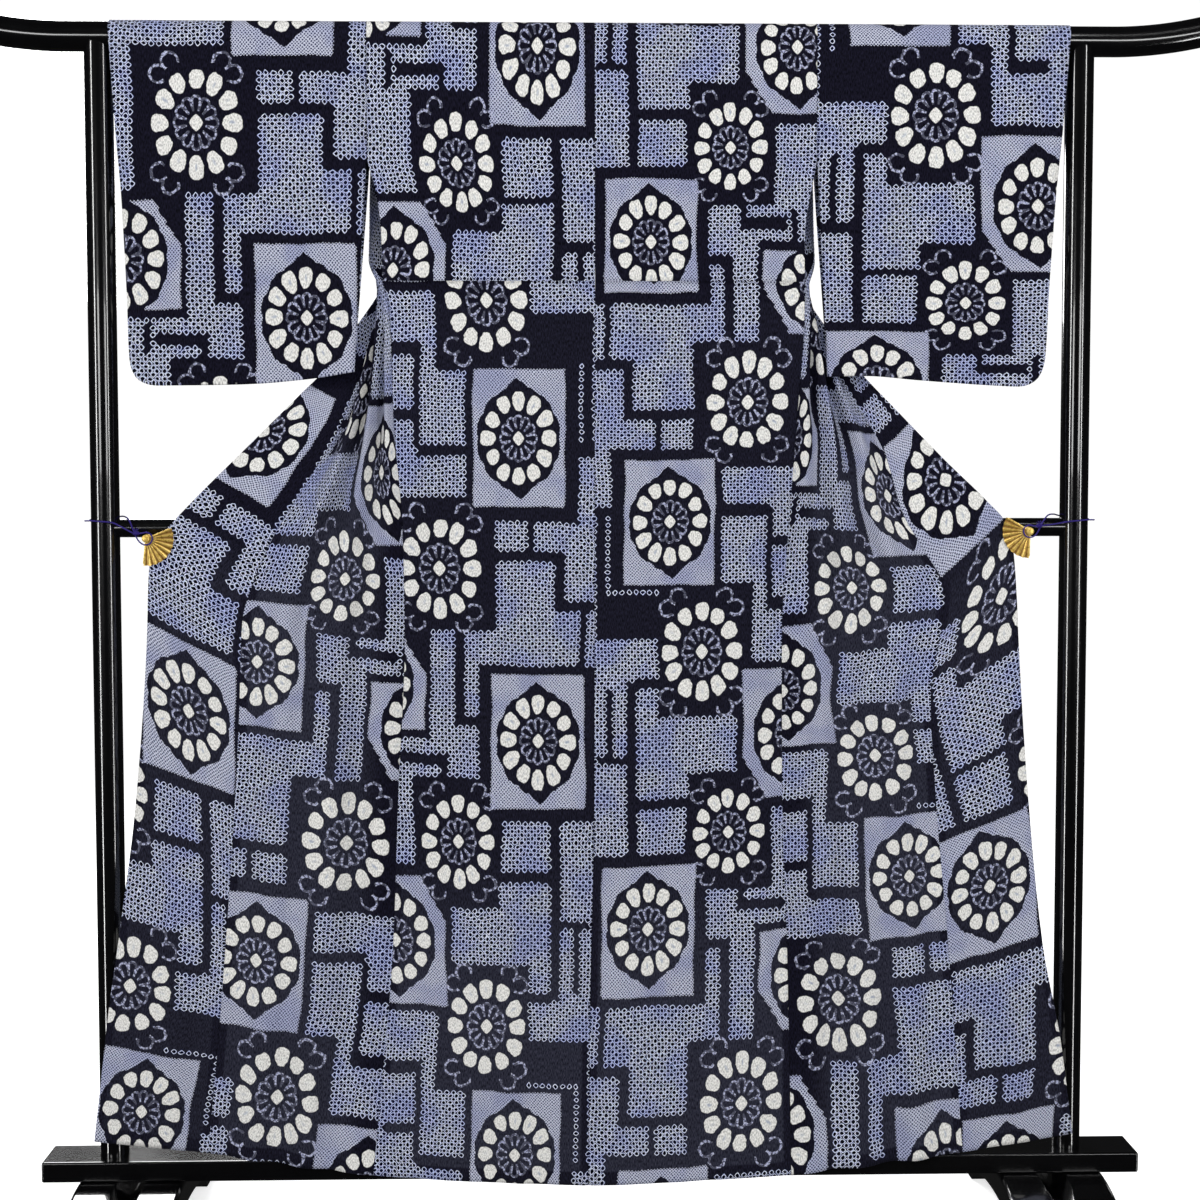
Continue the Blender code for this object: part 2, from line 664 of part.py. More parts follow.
def foot_section(depth):
    """Heights of a foot at a distance from its middle: top, underside, groove depth and half width."""
    far = abs(depth) / FOOT_HALF
    flat_top = BOARD_TOP - BOARD_THICK - CLEAR
    past = max(abs(depth) - BOARD_DEPTH / 2, 0.0) / (FOOT_HALF - BOARD_DEPTH / 2)
    top = flat_top - (flat_top - FOOT_TIP_HEIGHT) * past**FOOT_SLOPE
    inner = 1 - FOOT_PAD / FOOT_HALF
    under = FOOT_ARCH * math.sqrt(max(1 - (far / inner)**2, 0.0))
    fade = ease(1 - past)
    return top, under, GROOVE_DEPTH * fade, GROOVE_WIDTH * (0.12 + 0.38 * fade)


def feet(look):
    """Arched feet across the board, each with a groove that opens toward the board."""
    stations = sorted({side * FOOT_HALF * t for t in FOOT_STATIONS for side in (-1, 1)})
    half = FOOT_WIDTH / 2
    shoulder = half - FOOT_EDGE
    for name, side in SIDES.items():
        shape = bmesh.new()
        rings = []
        for depth in stations:
            top, under, groove, opening = foot_section(depth)
            side_top = top - FOOT_EDGE
            outline = ((-half, under), (-half, side_top), (-shoulder, top), (-opening, top), (0.0, top - groove),
                       (opening, top), (shoulder, top), (half, side_top), (half, under))
            rings.append([shape.verts.new((x, depth, height)) for x, height in outline])
        for before, after in zip(rings, rings[1:]):
            for k in range(len(before)):
                following = (k + 1) % len(before)
                shape.faces.new((before[k], before[following], after[following], after[k]))
        shape.faces.new(rings[0])
        shape.faces.new(rings[-1])
        bmesh.ops.recalc_face_normals(shape, faces=shape.faces)
        bmesh.ops.triangulate(shape, faces=[face for face in shape.faces if len(face.verts) > 4])
        finish(to_mesh(shape, "foot_" + name), "foot_" + name, look, (side * FOOT_X, 0.0, 0.0))


def clips(look):
    """Folding-fan clips: a pleated leaf in front, a plain jaw behind, joined at the pivot."""
    for name, place in CLIP_PLACES.items():
        pivot = np.array(place["pivot"])
        shape = bmesh.new()
        steps = 2 * CLIP_PLEATS
        turns = [math.radians(place["first"] + (place["last"] - place["first"]) * k / steps)
                 for k in range(steps + 1)]
        front, back = -CLIP_GRIP / 2, CLIP_GRIP / 2
        layers = []
        for reach in (CLIP_INNER, CLIP_REACH):
            relief = CLIP_RELIEF * reach / CLIP_REACH
            for base in (front - CLIP_THICK, front):
                layers.append([shape.verts.new(pivot + np.array((
                    reach * math.cos(turn), base - (relief if k % 2 else 0.0), reach * math.sin(turn))))
                    for k, turn in enumerate(turns)])
        near_out, near_in, far_out, far_in = layers
        for k in range(steps):
            shape.faces.new((near_out[k], near_out[k + 1], far_out[k + 1], far_out[k]))
            shape.faces.new((near_in[k], far_in[k], far_in[k + 1], near_in[k + 1]))
            shape.faces.new((far_out[k], far_out[k + 1], far_in[k + 1], far_in[k]))
            shape.faces.new((near_out[k], near_in[k], near_in[k + 1], near_out[k + 1]))
        for k in (0, -1):
            shape.faces.new((near_out[k], far_out[k], far_in[k], near_in[k]))
        bmesh.ops.recalc_face_normals(shape, faces=shape.faces)
        made = finish(to_mesh(shape, "clip_" + name), "clip_" + name, look)
        middle = (turns[0] + turns[-1]) / 2
        length = CLIP_GRIP + CLIP_THICK * 2 + KNOB_PROUD
        knob = cylinder(KNOB_RADIUS, length, ALONG_Y, KNOB_SIDES)
        join(made, finish(to_mesh(knob, "clip_knob_" + name), "clip_knob_" + name, look,
                          pivot + np.array((0.0, back + CLIP_THICK * 2 - length / 2, 0.0))))
        jaw = cylinder(JAW_RADIUS, CLIP_THICK, ALONG_Y, JAW_SIDES)
        join(made, finish(to_mesh(jaw, "clip_jaw_" + name), "clip_jaw_" + name, look,
                          pivot + np.array((JAW_REACH * math.cos(middle), back + CLIP_THICK / 2,
                                            JAW_REACH * math.sin(middle)))))


def join(made, other):
    """Boolean union with a hidden piece."""
    other.hide_render = True
    other.display_type = "WIRE"
    step = made.modifiers.new("Join", "BOOLEAN")
    step.operation = "UNION"
    step.object = other


def rounded(points, count):
    """Points read along a smooth curve through the given ones."""
    points = [np.array(p) for p in points]
    padded = [2 * points[0] - points[1]] + points + [2 * points[-1] - points[-2]]
    out = []
    for k in range(count + 1):
        spot = k / count * (len(points) - 1)
        i = min(int(spot), len(points) - 2)
        t = spot - i
        a, b, c, d = padded[i:i + 4]
        out.append(0.5 * (2 * b + (c - a) * t + (2 * a - 5 * b + 4 * c - d) * t * t
                          + (3 * b - a - 3 * c + d) * t**3))
    return out


def cords(look):
    """Thin tie cords from each clip round its upright, with short free ends."""
    for name, side in SIDES.items():
        shift = CLIP_PLACES[name]["pivot"][2] - CLIP_PLACES["right"]["pivot"][2]
        start = abs(CLIP_PLACES[name]["pivot"][0]) - abs(CLIP_PLACES["right"]["pivot"][0])
        route = []
        for x, depth, height in CORD_ROUTE:
            near = min(max((CORD_FREE_X - x) / CORD_BLEND, 0.0), 1.0)
            route.append((side * (x + start * near), depth, height + shift * near))
        tube("cord_" + name, rounded(route, CORD_POINTS), CORD_RADIUS, look, sides=2)


def build():
    for made in list(bpy.data.objects):
        bpy.data.objects.remove(made, do_unlink=True)
    lacquer = material("black_lacquer", (0.012, 0.012, 0.014), 0.12, coat=1.0)
    rod(lacquer)
    uprights(lacquer)
    crossbar(lacquer)
    board(lacquer)
    feet(lacquer)
    garment()
    clips(material("gold_metal", (0.83, 0.60, 0.22), 0.25, metallic=1.0))
    cords(material("purple_cord", (0.10, 0.04, 0.30), 0.7))


build()
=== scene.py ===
"""Looks of a tie-dyed yukata that hangs by its back on a black lacquered kimono stand.

Metres, +Z up, origin on the floor under the middle of the stand. The garment's back faces -Y.
Left and right are the viewer's, who looks at the back. "Fall" is the distance down from the rod's top.
"""
import math
from functools import lru_cache

import bmesh
import bpy
import numpy as np
from mathutils import Matrix, Vector, noise


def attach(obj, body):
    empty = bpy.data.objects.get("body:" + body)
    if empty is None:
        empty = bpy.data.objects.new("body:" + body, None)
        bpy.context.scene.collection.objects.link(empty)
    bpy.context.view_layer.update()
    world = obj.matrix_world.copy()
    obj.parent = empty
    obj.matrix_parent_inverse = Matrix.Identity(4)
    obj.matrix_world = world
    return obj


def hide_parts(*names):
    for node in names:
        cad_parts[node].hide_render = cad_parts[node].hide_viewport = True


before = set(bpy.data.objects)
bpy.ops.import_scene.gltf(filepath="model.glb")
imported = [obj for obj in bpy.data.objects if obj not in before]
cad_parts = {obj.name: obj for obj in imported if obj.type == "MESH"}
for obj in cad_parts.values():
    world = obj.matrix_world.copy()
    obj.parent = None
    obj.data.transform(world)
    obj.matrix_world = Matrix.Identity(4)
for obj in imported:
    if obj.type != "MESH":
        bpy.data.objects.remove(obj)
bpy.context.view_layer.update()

# Camera, fitted to the stand and the garment
CAMERA_PLACE = (-0.05275, -2.512, 0.99742)
CAMERA_PITCH = 0.0549
CAMERA_YAW = 0.02493
CAMERA_ROLL = -0.00076
FOCAL_IN_FRAMES = 1847.0 / 1200.0
SENSOR = 36.0

# Studio: brightness of the surroundings as seen, as light and in reflections, and the softboxes by place,
# aim, width, height and power
SEEN_WHITE = 1.05
AMBIENT = 0.34
GLOSSY = 0.015
SOFTBOXES = (
    ((-3.7, -2.95, 0.7), (0.0, 0.0, 0.7), 0.34, 4.6, 95.0),
    ((3.0, -3.0, 0.7), (0.0, 0.0, 0.7), 0.28, 4.6, 62.0),
    ((-2.2, -4.6, 1.45), (-0.7, 0.0, 1.45), 1.0, 0.7, 15.0),
    ((2.2, -4.6, 1.45), (0.7, 0.0, 1.45), 1.0, 0.7, 15.0),
    ((0.3, -2.4, 3.3), (0.0, 0.0, 1.0), 2.2, 0.7, 30.0),
    ((-1.4, 2.8, 2.4), (0.0, 0.0, 0.9), 1.2, 1.8, 80.0),
)
FLOOR_GLOW = 0.72

# Stand, as the frame has it
ROD_RADIUS = 0.020
ROD_HEIGHT = 1.612
ROD_HALF = 0.880
ROD_BEND_START = 0.700
ROD_BEND = 0.90
UPRIGHT_X = 0.658
UPRIGHT_RADIUS = 0.019
CROSSBAR_RADIUS = 0.0125
CROSSBAR_HEIGHT = 0.958
BOARD_HALF = 0.750
BOARD_DEPTH = 0.070
BOARD_TOP = 0.098
BOARD_THICK = 0.028
CLEAR = 0.0003
ROUND_SIDES = 64
STAND_CREASE = 35.0
# Rim of the rod's ends: distance in from the end, and how much the radius is less there
ROD_RIM = ((0.0, 0.020), (0.0002, 0.0024), (0.0003, 0.0020), (0.0007, 0.0010), (0.0014, 0.0003),
           (0.0026, 0.0))
# Rings of the rod's curved ends, from near the end inwards, and the places of the straight middle's rings
ROD_RING = 0.006
ROD_RINGS = 29
ROD_STRAIGHT = [0.6, 0.3]
BOARD_EDGE = 0.003
FOOT_EDGE = 0.0012

# Cloth
CLOTH = 0.0012
SHELL = 0.0008
SEAM = 0.0003
WRAP_RADIUS = ROD_RADIUS + CLEAR + CLOTH / 2
WRAP_ARC = WRAP_RADIUS * math.pi / 2
SHOULDER_FALL = 0.0450
ARMPIT_FALL = 0.357
HEM_FALL = 1.555
TUCK_FALL = 0.357
TUCK_LIP = 0.0022
TUCK_STEP = 0.0006
PLEATS = 3
STEP = 0.0060
# Run of a seam's turned-in edge, and how far it lies behind its neighbour
TURNED_RUNS = (0.0, 0.0014, 0.0035, 0.0065, 0.0110)
TURNED_BEHIND = 0.0016

SIDES = {"left": -1.0, "right": 1.0}


def table(columns, rows):
    """Named columns of a short table."""
    return dict(zip(columns.split(), np.array(rows).T))


# Edge of the back panels, and the side seam below the armpit
SIDE_EDGE = table("fall left right depth", (
    (0.000, 0.3000, 0.3000, -0.0209),
    (0.190, 0.3000, 0.3000, -0.0210),
    (0.240, 0.2885, 0.2920, -0.0205),
    (0.290, 0.2825, 0.2850, -0.0190),
    (0.357, 0.2805, 0.2845, -0.0180),
    (0.385, 0.2720, 0.2850, -0.0185),
    (0.540, 0.2670, 0.2750, -0.0200),
    (0.690, 0.2560, 0.2640, -0.0205),
    (0.820, 0.2540, 0.2560, -0.0210),
    (1.040, 0.2640, 0.2570, -0.0240),
    (1.245, 0.2720, 0.2640, -0.0290),
    (1.490, 0.2940, 0.2690, -0.0380),
    (1.555, 0.3000, 0.2700, -0.0400),
))
# Centre seam of the back; x is to the right
CENTRE_SEAM = table("fall x depth", (
    (0.000, 0.003, -0.0209),
    (0.350, 0.003, -0.0235),
    (0.700, 0.002, -0.0300),
    (1.040, 0.001, -0.0350),
    (1.320, -0.005, -0.0385),
    (1.570, -0.008, -0.0410),
))
# Edge of the front panels from the shoulder, behind the rod, forward to the armpit
FRONT_ARMHOLE = table("fall left right depth", (
    (0.045, 0.3000, 0.3000, 0.0209),
    (0.190, 0.3000, 0.3000, 0.0210),
    (0.250, 0.3010, 0.3010, 0.0180),
    (0.320, 0.3010, 0.3010, 0.0030),
    (0.357, 0.2822, 0.2862, -0.0172),
))
# Okumi seam: front panel to okumi; above the okumi it is the front's edge along the collar
OKUMI_SEAM = {"left": table("fall x height depth", (
    (0.045, 0.090, 1.5995, 0.0209),
    (0.100, 0.133, 1.5350, 0.0225),
    (0.150, 0.174, 1.4700, 0.0260),
    (0.200, 0.213, 1.4050, 0.0320),
    (0.300, 0.252, 1.3150, 0.0450),
    (0.360, 0.277, 1.2600, 0.0430),
    (0.420, 0.300, 1.2030, 0.0270),
    (0.494, 0.326, 1.1350, 0.0030),
    (0.533, 0.339, 1.0980, -0.0060),
    (0.620, 0.382, 1.0220, -0.0220),
    (0.719, 0.432, 0.9380, -0.0320),
    (0.777, 0.455, 0.8850, -0.0330),
    (0.828, 0.470, 0.8340, -0.0330),
    (0.964, 0.476, 0.7000, -0.0340),
    (1.141, 0.487, 0.5240, -0.0360),
    (1.380, 0.506, 0.2850, -0.0390),
    (1.555, 0.523, 0.1120, -0.0410),
)), "right": table("fall x height depth", (
    (0.045, 0.090, 1.5995, 0.0209),
    (0.100, 0.133, 1.5350, 0.0225),
    (0.150, 0.174, 1.4700, 0.0260),
    (0.200, 0.213, 1.4050, 0.0320),
    (0.300, 0.252, 1.3150, 0.0450),
    (0.360, 0.280, 1.2600, 0.0430),
    (0.420, 0.312, 1.2030, 0.0270),
    (0.500, 0.358, 1.1280, 0.0030),
    (0.577, 0.396, 1.0570, -0.0120),
    (0.657, 0.417, 0.9800, -0.0260),
    (0.704, 0.440, 0.9370, -0.0310),
    (0.781, 0.475, 0.8680, -0.0340),
    (0.843, 0.467, 0.8090, -0.0400),
    (0.920, 0.456, 0.7330, -0.0390),
    (1.067, 0.465, 0.5870, -0.0360),
    (1.264, 0.483, 0.3910, -0.0380),
    (1.555, 0.505, 0.1030, -0.0410),
))}
# Outer edge of the okumi: along the collar down to the clip, then the free front edge
OUTER_EDGE = {"left": table("fall x height depth", (
    (0.200, 0.213, 1.4070, 0.0320),
    (0.300, 0.262, 1.3270, 0.0470),
    (0.360, 0.293, 1.2770, 0.0480),
    (0.420, 0.330, 1.2210, 0.0340),
    (0.480, 0.366, 1.1690, 0.0160),
    (0.533, 0.398, 1.1350, 0.0040),
    (0.620, 0.463, 1.0680, -0.0130),
    (0.720, 0.534, 0.9960, -0.0255),
    (0.760, 0.562, 0.9660, -0.0285),
    (0.800, 0.588, 0.9350, -0.0300),
    (0.830, 0.594, 0.9020, -0.0305),
    (0.921, 0.598, 0.8060, -0.0315),
    (1.119, 0.615, 0.5930, -0.0335),
    (1.285, 0.639, 0.4160, -0.0350),
    (1.399, 0.657, 0.2950, -0.0360),
    (1.478, 0.667, 0.2100, -0.0370),
    (1.555, 0.677, 0.1280, -0.0380),
)), "right": table("fall x height depth", (
    (0.200, 0.213, 1.4070, 0.0320),
    (0.300, 0.262, 1.3270, 0.0470),
    (0.360, 0.294, 1.2770, 0.0480),
    (0.420, 0.331, 1.2190, 0.0340),
    (0.480, 0.367, 1.1690, 0.0160),
    (0.545, 0.414, 1.1170, 0.0020),
    (0.640, 0.478, 1.0480, -0.0160),
    (0.720, 0.534, 0.9920, -0.0265),
    (0.760, 0.556, 0.9670, -0.0290),
    (0.800, 0.567, 0.9350, -0.0300),
    (0.860, 0.573, 0.8700, -0.0310),
    (0.940, 0.577, 0.7920, -0.0320),
    (1.119, 0.592, 0.5870, -0.0335),
    (1.300, 0.613, 0.3940, -0.0350),
    (1.430, 0.640, 0.2530, -0.0365),
    (1.555, 0.657, 0.1270, -0.0380),
))}
# Gathers that fan out from each armpit across the front panel, and how far the panel bellies forward
GATHERS = table("fall height belly", (
    (0.045, 0.0000, 0.000),
    (0.150, 0.0030, 0.000),
    (0.250, 0.0085, 0.000),
    (0.330, 0.0110, 0.000),
    (0.450, 0.0115, 0.000),
    (0.550, 0.0110, 0.003),
    (0.650, 0.0095, 0.008),
    (0.750, 0.0085, 0.010),
    (0.900, 0.0070, 0.009),
    (1.200, 0.0065, 0.007),
    (1.555, 0.0055, 0.003),
))
# Soft upright folds of the back. Across: 0 at the centre seam, 1 at the side
BACK_FOLDS = table("side across width height start peak end", (
    (-1, 0.24, 0.040, 0.0045, 0.36, 0.95, 1.80),
    (-1, 0.58, 0.032, 0.0065, 0.36, 0.75, 1.75),
    (-1, 0.84, 0.022, 0.0080, 0.37, 0.62, 1.60),
    (1, 0.16, 0.034, 0.0055, 0.36, 1.05, 1.85),
    (1, 0.50, 0.040, 0.0050, 0.36, 0.80, 1.70),
    (1, 0.82, 0.024, 0.0085, 0.37, 0.66, 1.65),
))
# Creases: start and end as x and height, width, and how far it stands towards the viewer
CREASES = {
    "back_left": (
        (-0.223, 1.220, -0.210, 0.915, 0.013, 0.0022),
        (-0.157, 0.862, -0.177, 0.463, 0.020, -0.0028),
        (-0.037, 1.194, -0.050, 0.968, 0.012, -0.0018),
        (-0.197, 1.575, -0.183, 1.300, 0.020, 0.0024),
        (-0.090, 1.552, -0.110, 1.287, 0.015, -0.0022),
        (-0.252, 1.500, -0.246, 1.320, 0.011, 0.0018),
        (-0.117, 0.330, -0.104, 0.060, 0.021, 0.0035),
        (-0.232, 0.420, -0.243, 0.060, 0.016, -0.0028),
    ),
    "back_right": (
        (0.046, 1.560, 0.058, 1.310, 0.017, 0.0022),
        (0.152, 1.530, 0.141, 1.330, 0.013, -0.0020),
        (0.228, 1.570, 0.240, 1.290, 0.020, 0.0026),
        (0.102, 1.180, 0.088, 0.880, 0.015, -0.0020),
        (0.215, 1.120, 0.196, 0.760, 0.013, 0.0024),
        (0.066, 0.700, 0.081, 0.330, 0.019, 0.0026),
        (0.160, 0.400, 0.151, 0.060, 0.022, -0.0034),
        (0.232, 0.560, 0.238, 0.090, 0.014, 0.0026),
    ),
    "front_left": (
        (-0.321, 1.020, -0.368, 0.951, 0.013, -0.0032),
        (-0.304, 0.940, -0.324, 0.845, 0.006, 0.0032),
        (-0.382, 0.740, -0.397, 0.140, 0.021, 0.0036),
        (-0.316, 0.809, -0.323, 0.150, 0.015, -0.0030),
        (-0.462, 0.492, -0.446, 0.455, 0.004, -0.0016),
        (-0.352, 0.300, -0.346, 0.080, 0.014, 0.0030),
        (-0.345, 1.130, -0.330, 1.060, 0.009, 0.0024),
    ),
    "front_right": (
        (0.421, 0.915, 0.401, 0.729, 0.014, -0.0034),
        (0.348, 1.100, 0.328, 0.809, 0.013, 0.0034),
        (0.374, 0.600, 0.388, 0.130, 0.020, 0.0036),
        (0.321, 0.662, 0.329, 0.140, 0.014, -0.0028),
        (0.380, 1.020, 0.412, 0.930, 0.008, -0.0026),
        (0.428, 0.360, 0.436, 0.090, 0.016, 0.0028),
    ),
    "okumi_left": (
        (-0.525, 0.758, -0.485, 0.653, 0.015, -0.0034),
        (-0.562, 0.463, -0.582, 0.150, 0.023, 0.0038),
        (-0.528, 0.420, -0.540, 0.120, 0.016, -0.0026),
        (-0.545, 0.905, -0.520, 0.800, 0.012, 0.0022),
    ),
    "okumi_right": (
        (0.497, 0.925, 0.512, 0.845, 0.013, 0.0026),
        (0.527, 0.809, 0.547, 0.331, 0.021, 0.0034),
        (0.500, 0.463, 0.540, 0.120, 0.016, -0.0030),
        (0.560, 0.330, 0.590, 0.120, 0.018, 0.0032),
    ),
    "sleeve_left": (
        (-0.555, 1.579, -0.535, 1.180, 0.021, 0.0030),
        (-0.462, 1.540, -0.469, 1.150, 0.016, -0.0028),
        (-0.369, 1.579, -0.349, 1.190, 0.019, 0.0026),
        (-0.597, 1.420, -0.585, 1.200, 0.012, -0.0020),
        (-0.410, 1.300, -0.404, 1.150, 0.013, 0.0024),
    ),
    "sleeve_right": (
        (0.352, 1.560, 0.341, 1.200, 0.018, 0.0028),
        (0.417, 1.579, 0.431, 1.260, 0.014, -0.0024),
        (0.500, 1.570, 0.489, 1.150, 0.022, 0.0032),
        (0.575, 1.480, 0.583, 1.180, 0.015, -0.0026),
        (0.447, 1.280, 0.452, 1.150, 0.011, 0.0020),
    ),
}
CREASE_FADE = 0.035
CREASE_DEPTH = 1.9
CRINKLE = 0.00055
CRINKLE_SCALE = 55.0
SEAM_GROOVE = 0.0009
SEAM_GROOVE_WIDE = 0.0032
# Height of the back's hem over the floor
BACK_HEM = table("x height", (
    (-0.300, 0.0785),
    (-0.177, 0.0695),
    (-0.090, 0.0660),
    (-0.008, 0.0620),
    (0.119, 0.0655),
    (0.270, 0.0735),
))
# Collar seam at the neck, mirrored for the other side
NECK_SEAM = table("x height depth", (
    (0.000, 1.5997, 0.0210),
    (0.050, 1.5997, 0.0210),
    (0.089, 1.5990, 0.0211),
    (0.133, 1.5350, 0.0229),
    (0.174, 1.4700, 0.0268),
))
COLLAR_WIDTH = table("along width behind drift", (
    (0.00, 0.055, 0.0000, 0.000),
    (0.12, 0.055, 0.0004, 0.001),
    (0.24, 0.057, 0.0034, 0.003),
    (0.55, 0.062, 0.0030, 0.006),
    (0.80, 0.068, 0.0022, 0.003),
    (1.00, 0.072, 0.0019, 0.001),
))
COLLAR_CLOTH = 0.0012
COLLAR_FALLS = (0.200, 0.245, 0.272, 0.300, 0.328, 0.357, 0.380, 0.405, 0.430, 0.460, 0.494, 0.533, 0.575,
                0.620, 0.670, 0.720, 0.760, 0.797)
# Seam round the sleeve from the lower inner corner to the foot of the cuff opening
SLEEVE_SEAM = {"left": table("along x height", (
    (0.00, 0.3200, 1.1700),
    (0.14, 0.3750, 1.1610),
    (0.28, 0.4510, 1.1540),
    (0.42, 0.5200, 1.1520),
    (0.52, 0.5850, 1.1515),
    (0.58, 0.6090, 1.1600),
    (0.64, 0.6190, 1.1840),
    (0.80, 0.6215, 1.2700),
    (1.00, 0.6270, 1.3980),
)), "right": table("along x height", (
    (0.00, 0.3170, 1.1640),
    (0.14, 0.3710, 1.1650),
    (0.28, 0.4450, 1.1590),
    (0.42, 0.5150, 1.1540),
    (0.52, 0.5780, 1.1510),
    (0.58, 0.6010, 1.1600),
    (0.64, 0.6120, 1.1860),
    (0.80, 0.6165, 1.2800),
    (1.00, 0.6240, 1.3980),
))}
SLEEVE_TOP_INNER = 0.3003
SLEEVE_TOP_OUTER = 0.6420
SLEEVE_JOINED_FALL = 0.190
SLEEVE_LEAN = -0.0110
SLEEVE_FOLD_RADIUS = 0.0022
SEAM_EASE = table("fall gap", (
    (0.045, 0.0010),
    (0.245, 0.0018),
    (0.420, 0.0014),
    (0.600, 0.0009),
    (0.900, 0.0006),
    (1.555, 0.0004),
))

# Tie cord of the right side: free end, in front of the upright, round the clip's knob, behind the
# upright, free end
CORD_RADIUS = 0.0011
CORD_POINTS = 38
CORD_FREE_X = 0.640
CORD_BLEND = 0.034
CORD_RINGS = 620
CORD_SIDES = 12
CORD_TWIST = 0.0105
# Knot by the clip: its span of the cord, its turns, and the tassel's loose ends by lean and height
KNOT_SPAN = (0.257, 0.288)
KNOT_TURNS = 4
KNOT_STEPS = 96
KNOT_RADIUS = 0.0008
KNOT_SIDES = 8
TASSEL = ((0.0040, 0.0065), (0.0012, 0.0080), (-0.0022, 0.0070), (-0.0046, 0.0050))
TASSEL_DEPTHS = (-0.0016, -0.0026, -0.0022)
TASSEL_ROOT = 0.0008
TASSEL_RADIUS = 0.0004
TASSEL_SIDES = 6
TASSEL_POINTS = 10
# Fan clips: pivot and the directions of the first and last rib, in degrees from +X
CLIP_PLACES = {
    "left": ((-0.5965, -0.0286, 0.9445), 22.0, -96.0),
    "right": ((0.5890, -0.0286, 0.9530), 149.0, 269.0),
}
CLIP_REACH = 0.0340
CLIP_GRIP = 0.0066
CLIP_SHEET = 0.0004
CLIP_PLEATS = 9
CLIP_HUB = 0.0118
CLIP_CREASE = 38.0
CLIP_STEPS = 8
# Ridges of the pleats: how sharp they are, how far their ends stand out, and how dark the hub is
PLEAT_POWER = 0.8
PLEAT_SCALLOP = 0.022
HUB_VALLEY = 0.45
# Leaf between the ribs, and the smaller leaf of the rear jaw: its share of the reach and its inset in degrees
LEAF_INSET = 0.0009
JAW_SHARE = 0.82
JAW_INSET = 9.0
# Outer ribs: start, how far they stand forward, thickness, width and edge
RIB_START = 0.001
RIB_PROUD = 0.0016
RIB_THICK = 0.0019
RIB_WIDE = 0.0024
RIB_EDGE = 0.0006
# Knob: its pin, its front and rear dome by segments, depth and radius, and the raised rim of the front one
PIN_RADIUS = 0.0036
PIN_LENGTH = 0.0136
PIN_DEPTH = -0.0020
PIN_SIDES = 24
DOMES = ((24, 12, -0.0086, 0.0046), (20, 10, 0.0052, 0.0060))
DOME_RISE = 0.0014
RIM_PLACE = (0.0044, -0.0082, 0.0)
RIM_RADIUS = 0.0007
RIM_SIDES = 10
RIM_STEPS = 32
# Rows of the fan's leaf: distance from the pivot, how far the row is raised, height of the pleats
FAN_ROWS = (
    (0.0040, 0.0007, 0.0000),
    (0.0070, 0.0007, 0.0002),
    (0.0116, 0.0007, 0.0003),
    (0.0124, 0.0005, 0.0003),
    (0.0130, 0.0000, 0.0006),
    (0.0170, 0.0000, 0.0009),
    (0.0230, 0.0000, 0.0011),
    (0.0290, 0.0000, 0.0013),
    (0.0340, 0.0000, 0.0014),
    (0.0370, 0.0000, 0.0014),
)
CORD_ROUTE = (
    (0.6820, -0.0175, 0.9680),
    (0.6700, -0.0215, 0.9680),
    (0.6580, -0.0228, 0.9670),
    (0.6430, -0.0232, 0.9655),
    (0.6250, -0.0265, 0.9625),
    (0.6070, -0.0325, 0.9605),
    (0.5960, -0.0350, 0.9600),
    (0.5880, -0.0352, 0.9612),
    (0.5820, -0.0352, 0.9580),
    (0.5805, -0.0352, 0.9520),
    (0.5840, -0.0352, 0.9462),
    (0.5910, -0.0352, 0.9448),
    (0.5975, -0.0345, 0.9485),
    (0.6030, -0.0310, 0.9560),
    (0.6100, -0.0225, 0.9655),
    (0.6200, -0.0090, 0.9740),
    (0.6320, 0.0070, 0.9755),
    (0.6430, 0.0180, 0.9735),
    (0.6580, 0.0222, 0.9710),
    (0.6720, 0.0185, 0.9700),
    (0.6820, 0.0095, 0.9690),
)

